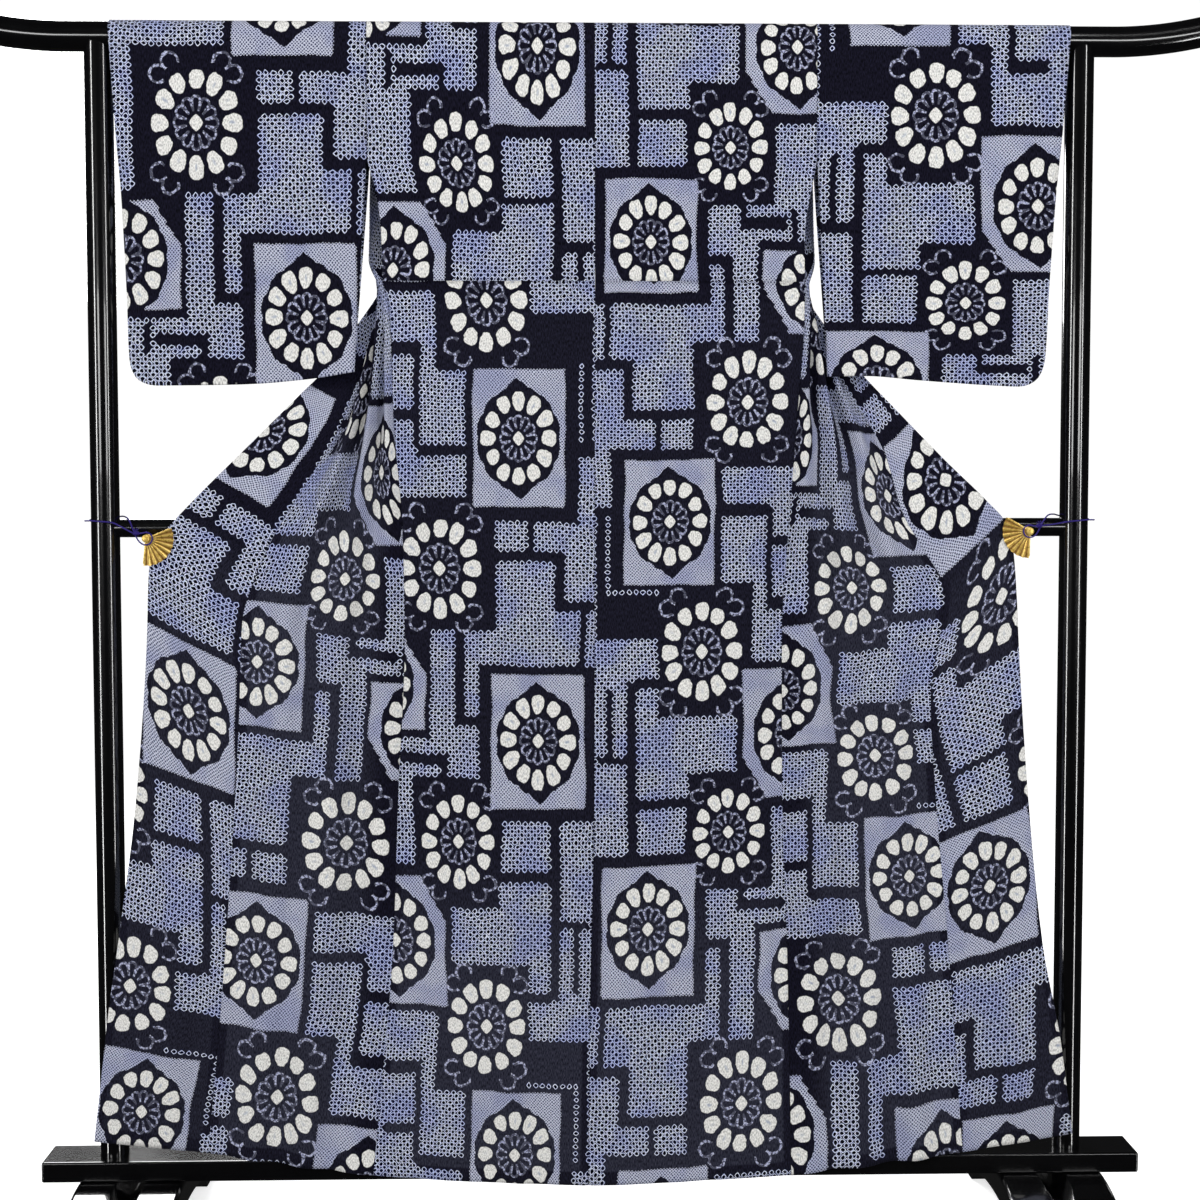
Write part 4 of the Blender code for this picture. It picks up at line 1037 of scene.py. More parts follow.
def cloth_group():
    """Tie-dyed cotton: colour, with painted light through single cloth, painted shade on doubled cloth and
    painted shade in the petals' ripples, and the way its face leans, from the place on the bolt, in metres.
    """
    lattice = lattice_group()
    rings_tree, fields_tree = rings_group(maze_group(), lattice), fields_group(lattice)
    flowers_tree = flowers_group()
    nodes, given, out = new_group("tied_cloth", [("Cloth", "Vector"), ("Doubled", "Float")],
                                  [("Color", "Color"), ("Facing", "Vector")])
    centimetres = nodes.scale(given["Cloth"], 100.0)
    drift = nodes.centred(nodes.noise(centimetres, 0.13, 1.0, 1))
    jitter = nodes.centred(nodes.noise(centimetres, 1.9, 0.0, 1))
    place = nodes.vector("ADD", centimetres, nodes.vector("MULTIPLY", drift, (0.9, 0.9, 0.0)))
    place = nodes.vector("ADD", place, nodes.vector("MULTIPLY", jitter, (0.20, 0.20, 0.0)))
    rings = nodes.use(rings_tree, Place=place)
    field = nodes.use(fields_tree, Place=place)
    flower = nodes.use(flowers_tree, Place=centimetres)

    slub = nodes.noise(nodes.vector("MULTIPLY", centimetres, (8.5, 1.9, 1.0)), 1.0, 3.0)
    threads = nodes.step(slub, 0.28, 0.72)
    blotch = nodes.step(nodes.noise(centimetres, 0.16, 3.0), 0.42, 0.66)
    fine_blotch = nodes.step(nodes.noise(centimetres, 1.1, 2.0), 0.30, 0.70)
    # Ground: painted light shining through where the cloth is single, painted shade where it is doubled
    bare_painted_backlight = nodes.colour(threads, paint("13141e"), paint("3b3c4c"))
    lined_painted_shade = nodes.colour(threads, paint("030309"), paint("1c1b2c"))
    ground_painted_light = nodes.colour(given["Doubled"], bare_painted_backlight, lined_painted_shade)
    speck = nodes.step(nodes.noise(centimetres, 6.5, 1.0), 0.36, 0.60)
    line = nodes.colour(nodes.times(blotch, 0.60), paint("f4f9ff"), paint("a8b5f3"))
    line = nodes.colour(nodes.times(fine_blotch, 0.18), line, paint("8692d8"))
    line = nodes.colour(speck, paint("b3bce8"), line)
    between_rings = nodes.colour(blotch, paint("232847"), paint("1b245c"))
    hole = nodes.colour(blotch, paint("040512"), paint("06092b"))
    middle = nodes.colour(rings["Hole"], between_rings, hole)
    tied = nodes.colour(rings["Line"], middle, line)
    shade = nodes.colour(rings["Tied"], ground_painted_light, tied)

    tint = nodes.colour(nodes.times(blotch, 0.6), paint("ccd0e2"), paint("a2a9d0"))
    dotted = nodes.colour(field["Light"], paint("34385a"), tint)
    inside = nodes.times(field["Inside"], nodes.minus(1.0, flower["Dark"]))
    shade = nodes.colour(field["Inside"], shade, nodes.colour(flower["Dark"], dotted, ground_painted_light))
    chained = nodes.colour(speck, paint("7d82ac"), paint("cdd0e6"))
    shade = nodes.colour(flower["Chain"], shade, chained)
    # Petals painted grey in the hollows of their ripple as painted shade, then bluer where really stained
    cream = nodes.colour(flower["RippleShade"], paint("b5b4b2"), paint("fbfaf6"))
    cream = nodes.colour(nodes.times(flower["Stain"], 0.75), cream, paint("8f9cb4"))
    shade = nodes.colour(flower["Petal"], shade, cream)
    nodes.feed(out["Color"], shade)

    leaning = nodes.choose(field["Inside"], rings["Lean"], nodes.scale(field["Lean"], inside))
    leaning = nodes.choose(flower["Petal"], leaning, flower["Lean"])
    rough = nodes.scale(THREAD_LEAN, nodes.minus(slub, 0.5))
    facing = nodes.vector("ADD", nodes.vector("ADD", leaning, rough), (0.0, 0.0, 1.0))
    facing = nodes.vector("NORMALIZE", facing)
    nodes.feed(out["Facing"], nodes.vector("MULTIPLY_ADD", facing, (0.5, 0.5, 0.5), (0.5, 0.5, 0.5)))
    return nodes.tree


def material(name, roughness, metallic=0.0, coat=0.0, colour=None):
    """Principled material: its shader, its nodes, and itself."""
    made = bpy.data.materials.new(name)
    made.use_nodes = True
    shader = made.node_tree.nodes["Principled BSDF"]
    shader.inputs["Roughness"].default_value = roughness
    shader.inputs["Metallic"].default_value = metallic
    shader.inputs["Coat Weight"].default_value = coat
    if colour is not None:
        shader.inputs["Base Color"].default_value = paint(colour)
    return made, Nodes(made.node_tree), shader.inputs


def bump(nodes, sockets, height, strength, distance):
    made = nodes.add("ShaderNodeBump")
    made.inputs["Strength"].default_value = strength
    made.inputs["Distance"].default_value = distance
    nodes.feed(made.inputs["Height"], height)
    nodes.feed(sockets["Normal"], made.outputs[0])


def cloth_material(name, group):
    """Tied cotton of one kind of panel."""
    made, nodes, sockets = material(name, 0.86)
    sockets["Specular IOR Level"].default_value = 0.05
    sockets["Sheen Weight"].default_value = 0.006
    sockets["Sheen Roughness"].default_value = 0.6
    cloth = nodes.add("ShaderNodeUVMap", uv_map="cloth").outputs[0]
    edge = nodes.add("ShaderNodeAttribute", attribute_name="edge").outputs["Fac"]
    layers = nodes.add("ShaderNodeAttribute", attribute_name="layers").outputs["Fac"]
    # How doubled the cloth is, by its turned-in edges and its layers: it sets the painted shade of doubled
    # cloth against the painted light through single cloth
    doubled = nodes.math("MAXIMUM", nodes.step(edge, 0.0085, 0.0125, 0.85, 0.0), layers)
    tied = nodes.use(group, Cloth=cloth, Doubled=doubled)
    nodes.feed(sockets["Base Color"], tied["Color"])
    facing = nodes.add("ShaderNodeNormalMap", uv_map="cloth")
    nodes.feed(facing.inputs["Color"], tied["Facing"])
    nodes.feed(sockets["Normal"], facing.outputs[0])
    return made


def lacquer_material():
    made, nodes, sockets = material("black_lacquer", 0.16, coat=1.0)
    place = nodes.add("ShaderNodeTexCoord").outputs["Object"]
    dust = nodes.noise(place, 60.0, 4.0)
    nodes.feed(sockets["Base Color"], nodes.colour(dust, paint("030304"), paint("08080a")))
    nodes.feed(sockets["Roughness"], nodes.step(nodes.noise(place, 3.0, 3.0), 0.3, 0.8, 0.12, 0.24))
    sockets["Specular IOR Level"].default_value = 0.6
    sockets["Coat Roughness"].default_value = 0.045
    return made


def gold_material():
    made, nodes, sockets = material("gold_metal", 0.28, metallic=0.45)
    place = nodes.add("ShaderNodeTexCoord").outputs["Object"]
    valley_shade_hub_tone = nodes.add("ShaderNodeAttribute", attribute_name="valley_shade_hub_tone").outputs["Fac"]
    wear = nodes.noise(place, 230.0, 2.0)
    gilt = nodes.colour(wear, paint("f2bc3e"), paint("ffe992"))
    # Pleat valleys painted dark brown as painted shade; the hub gets part of the same darker tone
    nodes.feed(sockets["Base Color"], nodes.colour(valley_shade_hub_tone, gilt, paint("7a5010")))
    nodes.feed(sockets["Roughness"], nodes.step(wear, 0.3, 0.7, 0.24, 0.34))
    return made


def cord_material():
    made, nodes, sockets = material("purple_cord", 0.7)
    cloth = nodes.add("ShaderNodeTexCoord").outputs["Object"]
    fibre = nodes.noise(cloth, 1500.0, 2.0)
    nodes.feed(sockets["Base Color"], nodes.colour(fibre, paint("12074a"), paint("3820a0")))
    bump(nodes, sockets, fibre, 0.4, 0.0002)
    return made


def read(columns, key, by, value):
    """Smooth monotone reading of a table column at a value of another column."""
    xs, ys = columns[by], columns[key]
    tangent = slopes(tuple(xs), tuple(ys))
    value = min(max(value, xs[0]), xs[-1])
    k = min(int(np.searchsorted(xs, value, side="right")) - 1, len(xs) - 2)
    width = xs[k + 1] - xs[k]
    t = (value - xs[k]) / width
    return float((2 * t**3 - 3 * t**2 + 1) * ys[k] + (t**3 - 2 * t**2 + t) * width * tangent[k]
                 + (3 * t**2 - 2 * t**3) * ys[k + 1] + (t**3 - t**2) * width * tangent[k + 1])


@lru_cache(maxsize=None)
def slopes(xs, ys):
    """Tangents that keep a reading monotone between its rows."""
    step = np.diff(xs)
    slope = np.diff(ys) / step
    tangent = np.empty(len(ys))
    tangent[0], tangent[-1] = slope[0], slope[-1]
    for k in range(1, len(xs) - 1):
        before, after = slope[k - 1], slope[k]
        if before * after <= 0:
            tangent[k] = 0.0
        else:
            near, far = 2 * step[k] + step[k - 1], step[k] + 2 * step[k - 1]
            tangent[k] = (near + far) / (near / before + far / after)
    return tangent


def ease(t):
    """Soft step from 0 to 1."""
    t = min(max(t, 0.0), 1.0)
    return t * t * (3 - 2 * t)


def over_rod(fall):
    """Depth and height of cloth that runs over the rod's top and straight down in front."""
    if fall < WRAP_ARC:
        turn = fall / WRAP_RADIUS
        return -WRAP_RADIUS * math.sin(turn), ROD_HEIGHT + WRAP_RADIUS * math.cos(turn)
    return -WRAP_RADIUS, ROD_HEIGHT + WRAP_ARC - fall


def crinkle(x, height):
    """Fine unevenness of tied cotton; it goes as the cloth nears the rod."""
    total = noise.noise(Vector((x, 0.0, height)) * CRINKLE_SCALE)
    total += 0.6 * noise.noise(Vector((x, 0.5, height)) * CRINKLE_SCALE * 2.3)
    return CRINKLE * total * ease((ROD_HEIGHT - 0.025 - height) / 0.07)


def relief(panel, x, height, inside):
    """How far a panel stands towards the viewer, at a distance inside its seams."""
    total = 0.0
    for x0, z0, x1, z1, width, tall in CREASES[panel]:
        dx, dz = x1 - x0, z1 - z0
        t = min(max(((x - x0) * dx + (height - z0) * dz) / (dx * dx + dz * dz), 0.0), 1.0)
        away = math.hypot(x - x0 - dx * t, height - z0 - dz * t) / width
        total += tall * math.exp(-away * away) * (0.35 + 0.65 * math.sin(math.pi * t))
    total *= CREASE_DEPTH * ease(inside / CREASE_FADE) * ease((ROD_HEIGHT - 0.025 - height) / 0.07)
    return total + crinkle(x, height)


def groove(inside):
    """How far the cloth dips into a seam."""
    return SEAM_GROOVE * math.exp(-(inside / SEAM_GROOVE_WIDE)**2)


def back_folds(side, across, fall, width):
    """How far the upright folds of a back panel stand forward."""
    total = 0.0
    for fold_side, middle, wide, height, start, peak, end in zip(*BACK_FOLDS.values()):
        if fold_side == side:
            away = (across - middle) * width / wide
            grow = ease((fall - start) / (peak - start))
            fade = ease((end - fall) / (end - peak))
            total += height * grow * fade * math.exp(-away * away)
    return total


@lru_cache(maxsize=None)
def back_row(name, fall):
    """Edges of a back panel at a fall: x at the centre seam and side, depth at both."""
    side = SIDES[name]
    return (read(CENTRE_SEAM, "x", "fall", fall) + side * SEAM / 2,
            side * read(SIDE_EDGE, name, "fall", fall),
            read(CENTRE_SEAM, "depth", "fall", fall), read(SIDE_EDGE, "depth", "fall", fall))


def back_point(name, across, fall, plain=False):
    """Point of a back panel. Across: 0 at the centre seam, 1 at the side. Plain: without creases."""
    centre, edge, middle, outer = back_row(name, fall)
    x = centre + (edge - centre) * across
    if fall < WRAP_ARC:
        depth, height = over_rod(abs(fall))
        return x, depth if fall > 0 else -depth, height
    depth = middle + (outer - middle) * across**3
    depth -= back_folds(SIDES[name], across, fall, abs(edge - centre))
    lip = ease((fall - TUCK_FALL + 0.060) / 0.060) if fall <= TUCK_FALL + 1e-6 else 0.0
    depth -= TUCK_LIP * lip
    height = ROD_HEIGHT + WRAP_ARC - fall
    if fall > TUCK_FALL:
        tuck_height = ROD_HEIGHT + WRAP_ARC - TUCK_FALL
        hem = read(BACK_HEM, "height", "x", x)
        height = tuck_height + (hem - tuck_height) * (fall - TUCK_FALL) / (HEM_FALL - TUCK_FALL)
    if not plain:
        inside = min(across, 1 - across) * abs(edge - centre)
        depth += groove(inside) - relief("back_" + name, x, height, inside)
    return x, depth, height


@lru_cache(maxsize=None)
def front_edge(name, fall):
    """Edge of a front panel at the armhole and along the side seam."""
    side = SIDES[name]
    if fall <= ARMPIT_FALL:
        height = ROD_HEIGHT + WRAP_ARC - fall - SEAM
        return np.array((side * read(FRONT_ARMHOLE, name, "fall", fall),
                         read(FRONT_ARMHOLE, "depth", "fall", fall), height))
    x, depth, height = back_point(name, 1.0, fall, plain=True)
    return np.array((x + side * read(SEAM_EASE, "gap", "fall", fall), depth, height))


def long_edge(columns, side, fall):
    """Point of an okumi seam or of an outer edge."""
    return np.array((side * read(columns, "x", "fall", fall), read(columns, "depth", "fall", fall),
                     read(columns, "height", "fall", fall)))


@lru_cache(maxsize=None)
def okumi_seam(name, fall):
    return long_edge(OKUMI_SEAM[name], SIDES[name], fall)


@lru_cache(maxsize=None)
def outer_edge(name, fall):
    return long_edge(OUTER_EDGE[name], SIDES[name], fall)


@lru_cache(maxsize=None)
def gathers(fall):
    return read(GATHERS, "height", "fall", fall), read(GATHERS, "belly", "fall", fall)


def front_point(name, across, fall):
    """Point of a front panel. Across: 0 at the armhole and side seam, 1 at the okumi seam."""
    near, far = front_edge(name, fall), okumi_seam(name, fall)
    run = far - near
    out = SIDES[name] * np.array((run[1], -run[0], 0.0)) / math.hypot(run[0], run[1])
    height, belly = gathers(fall)
    wave = math.sin(2 * math.pi * PLEATS * across) * (1 - (2 * across - 1)**4)
    place = near + run * across + out * (height * wave + belly * 4 * across * (1 - across))
    return creased("front_" + name, place, min(across, 1 - across) * float(np.linalg.norm(run)))


def turned_in(edge, neighbour, back, run):
    """Point of a seam's turned-in edge, which runs back from the seam, then flat behind its neighbour."""
    if run < TURNED_RUNS[1]:
        return edge
    if run < TURNED_RUNS[2]:
        return edge + back * (TURNED_BEHIND - 0.0002)
    return neighbour(run - TURNED_BEHIND) + back * TURNED_BEHIND


def turned_back(run, fall):
    """Turned-in edge of the left back at the centre seam."""
    centre, edge, _, _ = back_row("right", fall)
    return turned_in(np.array(back_point("left", 0.0, fall)),
                     lambda s: np.array(back_point("right", s / abs(edge - centre), fall)),
                     np.array((0.0, 1.0, 0.0)), run)


def turned_front(name, run, fall):
    """Turned-in edge of a front panel at the side seam."""
    centre, edge, _, _ = back_row(name, fall)
    return turned_in(front_point(name, 0.0, fall),
                     lambda s: np.array(back_point(name, 1 - s / abs(edge - centre), fall)),
                     np.array((0.0, 1.0, 0.0)), run)


def turned_okumi(name, run, fall):
    """Turned-in edge of an okumi behind the front panel."""
    across_front = okumi_seam(name, fall) - front_edge(name, fall)
    wide = float(np.linalg.norm(across_front))
    back = -SIDES[name] * np.array((across_front[1], -across_front[0], 0.0)) / math.hypot(*across_front[:2])
    return turned_in(okumi_point(name, 0.0, fall), lambda s: front_point(name, 1 - s / wide, fall), back, run)


def creased(panel, place, inside):
    """Place moved by the panel's creases and into its seams."""
    place[1] += groove(inside) - relief(panel, place[0], place[2], inside)
    return place


def okumi_point(name, across, fall):
    """Point of an okumi. Across: 0 at the seam to the front, 1 at the outer edge."""
    near, far = okumi_seam(name, fall), outer_edge(name, fall)
    gap = read(SEAM_EASE, "gap", "fall", fall)
    wide = float(np.linalg.norm(far - near))
    start = min(gap / wide, 0.3)
    place = near + (far - near) * (start + (1 - start) * across)
    return creased("okumi_" + name, place, min(across, 1 - across) * wide)


def collar_root():
    """Points of the collar's seam from the left end, round the neck, to the right end."""
    half = {}
    for name, side in SIDES.items():
        points = [np.array((side * x, depth, height)) for x, height, depth in
                  zip(NECK_SEAM["x"][1:], NECK_SEAM["height"][1:], NECK_SEAM["depth"][1:])]
        half[name] = points + [outer_edge(name, fall) for fall in COLLAR_FALLS]
    middle = np.array((0.0, NECK_SEAM["depth"][0], NECK_SEAM["height"][0]))
    return half["left"][::-1] + [middle] + half["right"], len(half["left"])


COLLAR_ROOT, COLLAR_MIDDLE = collar_root()


@lru_cache(maxsize=None)
def collar_station(station):
    """Place on the collar's seam and the direction across the collar at a whole station."""
    last = len(COLLAR_ROOT) - 1
    tangent = COLLAR_ROOT[min(station + 1, last)] - COLLAR_ROOT[max(station - 1, 0)]
    down = np.array((tangent[2], 0.0, -tangent[0])) / math.hypot(tangent[0], tangent[2])
    return COLLAR_ROOT[station], down


def collar_point(spot, across):
    """Point of the collar. Spot: along its seam's stations; across: 0 at the seam, 1 at the free edge."""
    first = min(int(spot), len(COLLAR_ROOT) - 2)
    t = spot - first
    (root, down), (next_root, next_down) = collar_station(first), collar_station(first + 1)
    root, down = root + (next_root - root) * t, down + (next_down - down) * t
    along = abs(spot - COLLAR_MIDDLE) / COLLAR_MIDDLE
    width, behind, drift = (read(COLLAR_WIDTH, key, "along", along) for key in ("width", "behind", "drift"))
    place = root + down * (SEAM + (width - SEAM) * across)
    return place + np.array((0.0, behind + drift * across - crinkle(place[0], place[2]), 0.0))


@lru_cache(maxsize=None)
def sleeve_foot(name, along):
    seam = SLEEVE_SEAM[name]
    return read(seam, "x", "along", along), read(seam, "height", "along", along)


def sleeve_fall(name, along, leg):
    """Fall at a place on the sleeve. Leg: 0 at the rod's top, past the rod from 0.1, 1 at the seam."""
    length = ROD_HEIGHT + WRAP_ARC - sleeve_foot(name, along)[1]
    return length * leg


def sleeve_point(name, along, layer, leg, turn=0.0):
    """Point of a sleeve. Along: 0 at the body side, 1 at the cuff; layer: -1 in front, 1 at the rear;
    leg: from the rod's top to the seam; turn: round the seam's fold."""
    top_x = SLEEVE_TOP_INNER + (SLEEVE_TOP_OUTER - SLEEVE_TOP_INNER) * along
    foot_x, foot_height = sleeve_foot(name, along)
    length = ROD_HEIGHT + WRAP_ARC - foot_height
    fall = length * leg
    depth, height = over_rod(fall)
    joined = min(SLEEVE_JOINED_FALL, 0.55 * length)
    narrow = ease((fall - joined) / (length - joined))
    half = (-depth * (1 - narrow) + SLEEVE_FOLD_RADIUS * narrow) * math.cos(turn * math.pi / 2)
    out = np.array((foot_x - top_x, 0.0, -length))
    reach = SLEEVE_FOLD_RADIUS * math.sin(turn * math.pi / 2) * out / np.linalg.norm(out)
    inner = fall / length
    if along == 0:
        inner = max(0.0, (fall - SLEEVE_JOINED_FALL) / (length - SLEEVE_JOINED_FALL))
    x = SIDES[name] * (top_x + (foot_x - top_x) * inner + reach[0])
    inside = min(along, 1 - along) * (SLEEVE_TOP_OUTER - SLEEVE_TOP_INNER)
    shift = relief("sleeve_" + name, x, height, inside)
    return x, SLEEVE_LEAN * narrow + layer * half - shift, height + reach[2]


def even(count):
    """Evenly spaced values from 0 to 1."""
    return [k / count for k in range(count + 1)]


def columns(count):
    """Even columns, with two more beside each seam."""
    near = [0.25 / count, 0.6 / count]
    return [0.0] + near + even(count)[1:-1] + [1 - k for k in near[::-1]] + [1.0]


def between(start, end, step=STEP):
    """Values from start to end, no further apart than the step."""
    count = math.ceil((end - start) / step)
    return [start + (end - start) * k / count for k in range(count + 1)]


def on_bolt(name, across, fall):
    """Place on the bolt, in metres."""
    chart = BOLT[name]
    near, far = read(chart, "near", "fall", fall), read(chart, "far", "fall", fall)
    return (near + (far - near) * across) / 100, read(chart, "y", "fall", fall) / 100


def add_panel(shape, firsts, seconds, point, bolt, edge, layers):
    """Grid of cloth whose vertices are moved to point(first, second), with its place on the bolt, its
    distance from the nearest turned-in edge, and how doubled it is."""
    columns, rows = len(firsts) - 1, len(seconds) - 1
    made = bmesh.ops.create_grid(shape, x_segments=columns, y_segments=rows, size=0.5)["verts"]
    uv = shape.loops.layers.uv.verify()
    near_edge, doubled = shape.verts.layers.float["edge"], shape.verts.layers.float["layers"]
    places = {}
    for vertex in made:
        first = firsts[round((vertex.co.x + 0.5) * columns)]
        second = seconds[round((vertex.co.y + 0.5) * rows)]
        vertex.co = point(first, second)
        places[vertex] = bolt(first, second)
        vertex[near_edge] = edge(first, second)
        vertex[doubled] = layers(first, second)
    for face in {face for vertex in made for face in vertex.link_faces}:
        for loop in face.loops:
            loop[uv].uv = places[loop.vert]


def new_panel():
    shape = bmesh.new()
    shape.verts.layers.float.new("edge")
    shape.verts.layers.float.new("layers")
    shape.loops.layers.uv.new("cloth")
    return shape


def finish_cloth(shape, name, look, thickness=SHELL):
    """Cloth object from a shape, made thick evenly about its middle."""
    bmesh.ops.remove_doubles(shape, verts=shape.verts, dist=1e-6)
    bmesh.ops.recalc_face_normals(shape, faces=shape.faces)
    mesh = bpy.data.meshes.new(name)
    shape.to_mesh(mesh)
    shape.free()
    mesh.materials.append(look)
    mesh.shade_smooth()
    made = bpy.data.objects.new(name, mesh)
    bpy.context.scene.collection.objects.link(made)
    wall = made.modifiers.new("Wall", "SOLIDIFY")
    wall.thickness = thickness
    wall.offset = 0.0
    return made


def add_turned(shape, chart, falls, point, wide, side=-1.0):
    """Turned-in edge of a seam, as wide cloth past across 0."""
    add_panel(shape, TURNED_RUNS, falls, point, lambda run, f: on_bolt(chart, side * run / wide, f),
              lambda run, f: 0.0, lambda run, f: 1.0)


def body_panel(name, point, look, firsts, seconds, edge, layers, turned, turned_from):
    shape = new_panel()
    add_panel(shape, firsts, seconds, point, lambda a, f: on_bolt(name, a, f), edge, layers)
    add_turned(shape, name, [f for f in seconds if f > turned_from], turned, 0.2)
    return finish_cloth(shape, name + "_cloth", look)


def dress(piece, node):
    """Puts a cloth piece under the root body and hides the node it stands for."""
    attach(piece, "root")
    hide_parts(node)


def backs(look):
    for name in SIDES:
        def edge(a, f):
            return min(a, 1 - a) * 0.29, HEM_FALL - f - 0.008
        shape = new_panel()
        firsts = columns(48)
        upper = between(-SHOULDER_FALL, WRAP_ARC, 0.004) + between(WRAP_ARC, TUCK_FALL)[1:]
        lower = between(TUCK_FALL + TUCK_STEP, HEM_FALL)
        point = lambda a, f, n=name: back_point(n, a, f)
        # Layers: the upper back is doubled; below the tuck the back is a little less so and goes nearly
        # single towards the hem. They set its painted shade and painted light
        add_panel(shape, firsts, upper, point, lambda a, f, n=name: on_bolt(f"back_{n}_upper", a, f),
                  lambda a, f: min(edge(a, f)[0], 1.0), lambda a, f: 1.0)
        add_panel(shape, firsts, [TUCK_FALL] + lower,
                  point, lambda a, f, n=name: on_bolt("back_" + n, a, f),
                  lambda a, f: min(edge(a, f)),
                  lambda a, f: 1.0 - 0.15 * ease((f - 0.385) / 0.002) - 0.8 * ease((f - 1.08) / 0.24))
        if name == "left":
            add_turned(shape, "back_left_upper", [f for f in upper if 0.06 < f < 0.34], turned_back, 0.29)
            add_turned(shape, "back_left", [f for f in lower if f > 0.365], turned_back, 0.29)
        piece = finish_cloth(shape, f"back_{name}_cloth", look)
        dress(piece, "back_" + name)


def fronts(look):
    for name in SIDES:
        def width(f, n=name):
            return float(np.linalg.norm(okumi_seam(n, f) - front_edge(n, f)))
        # Layers: the front goes single lower down, away from the side seam; they set its painted shade and
        # painted light
        piece = body_panel("front_" + name, lambda a, f, n=name: front_point(n, a, f), look, columns(66),
                           between(SHOULDER_FALL, HEM_FALL),
                           lambda a, f: min(min(a, 1 - a) * width(f), HEM_FALL - f - 0.008),
                           lambda a, f: 1.0 - 0.9 * ease((f - 0.50) / 0.14) * ease((a - 0.08) / 0.22),
                           lambda run, f, n=name: turned_front(n, run, f), ARMPIT_FALL + 0.004)
        dress(piece, "front_" + name)


def okumis(look):
    for name in SIDES:
        def width(f, n=name):
            return float(np.linalg.norm(outer_edge(n, f) - okumi_seam(n, f)))
        # Layers: the okumi is half as doubled lower down; they set its painted shade and painted light
        piece = body_panel("okumi_" + name, lambda a, f, n=name: okumi_point(n, a, f), look, columns(26),
                           between(0.245, HEM_FALL),
                           lambda a, f: min(min(a, 1 - a) * width(f), HEM_FALL - f - 0.008),
                           lambda a, f: 1.0 - 0.5 * ease((f - 0.72) / 0.08),
                           lambda run, f, n=name: turned_okumi(n, run, f), 0.42)
        dress(piece, "okumi_" + name)


def sleeves(look):
    legs = [0.0, 0.008, 0.016, 0.024, 0.032, 0.040, 0.048, 0.056, 0.064, 0.072, 0.080]
    legs += between(0.09, 1.0, 0.0125)
    for name in SIDES:
        shape = new_panel()
        for layer in (-1.0, 1.0):
            steps = [(leg, 0.0) for leg in legs] + [(1.0, 0.35), (1.0, 0.7), (1.0, 1.0)]

            def point(a, step, n=name, side=layer):
                return sleeve_point(n, a, side, *step)

            def bolt(a, step, n=name, side=layer):
                x = abs(sleeve_point(n, a, side, *step)[0])
                across = (x - SLEEVE_TOP_INNER) / (SLEEVE_TOP_OUTER - SLEEVE_TOP_INNER)
                return on_bolt("sleeve_" + n, across, -side * sleeve_fall(n, a, step[0]))

            # The sleeve is fully doubled, painted as shade
            add_panel(shape, even(56), steps, point, bolt, lambda a, step: 0.05, lambda a, step: 1.0)
        piece = finish_cloth(shape, f"sleeve_{name}_cloth", look)
        dress(piece, "sleeve_" + name)


def collar(look):
    shape = new_panel()
    last = len(COLLAR_ROOT) - 1
    # The collar is fully doubled, painted as shade
    add_panel(shape, between(0, last, 0.2), even(12), collar_point,
              lambda spot, a: (-0.02 - 0.07 * a, 0.9 * spot / last * 2), lambda spot, a: 0.05,
              lambda spot, a: 1.0)
    piece = finish_cloth(shape, "collar_cloth", look, COLLAR_CLOTH)
    dress(piece, "collar")


def rounded(points, count):
    """Points read along a smooth curve through the given ones."""
    points = [np.array(p) for p in points]
    padded = [2 * points[0] - points[1]] + points + [2 * points[-1] - points[-2]]
    out = []
    for k in range(count + 1):
        spot = k / count * (len(points) - 1)
        i = min(int(spot), len(points) - 2)
        t = spot - i
        a, b, c, d = padded[i:i + 4]
        out.append(0.5 * (2 * b + (c - a) * t + (2 * a - 5 * b + 4 * c - d) * t * t
                          + (3 * b - a - 3 * c + d) * t**3))
    return out


def along_path(points):
    """Each point of a path with two directions square to it that turn as little as they can."""
    ahead = [np.array(b) - np.array(a) for a, b in zip(points, points[1:])]
    ahead.append(ahead[-1])
    side = np.cross(ahead[0], (0.0, 0.0, 1.0))
    for point, forward in zip(points, ahead):
        forward = forward / np.linalg.norm(forward)
        side = side - forward * side.dot(forward)
        side = side / np.linalg.norm(side)
        yield point, side, np.cross(forward, side)


def strand(shape, route, sides, reach):
    """Closed tube along a path, added to a shape. Reach: its radius at a place and a turn round it."""
    made = bmesh.ops.create_grid(shape, x_segments=len(route) - 1, y_segments=sides, size=0.5)["verts"]
    frames = list(along_path(route))
    for vertex in made:
        k = round((vertex.co.x + 0.5) * (len(route) - 1))
        turn = 2 * math.pi * round((vertex.co.y + 0.5) * sides) / sides
        point, side, up = frames[k]
        vertex.co = point + (side * math.cos(turn) + up * math.sin(turn)) * reach(k, turn)


def close(shape):
    """Seams of tubes joined and faces turned outwards."""
    bmesh.ops.remove_doubles(shape, verts=shape.verts, dist=1e-6)
    bmesh.ops.recalc_face_normals(shape, faces=shape.faces)
    return shape


def runs(route):
    """Length of a path up to each of its points."""
    return np.cumsum([0.0] + [float(np.linalg.norm(b - a)) for a, b in zip(route, route[1:])])


def rounded_end(run, length, radius):
    """Share of a tube's radius near its two rounded ends."""
    end = min(run, length - run, radius) / radius
    return math.sqrt(max(1 - (1 - end)**2, 0.0))


def twisted(name, route, look):
    """Cord of three twisted strands along a path, with rounded ends."""
    run = runs(route)

    def reach(k, turn):
        lobe = 0.85 + 0.15 * math.cos(3 * turn - 2 * math.pi * 3 * run[k] / CORD_TWIST)
        return CORD_RADIUS * lobe * rounded_end(run[k], run[-1], CORD_RADIUS)

    shape = bmesh.new()
    strand(shape, route, CORD_SIDES, reach)
    return add_piece(close(shape), name, look)


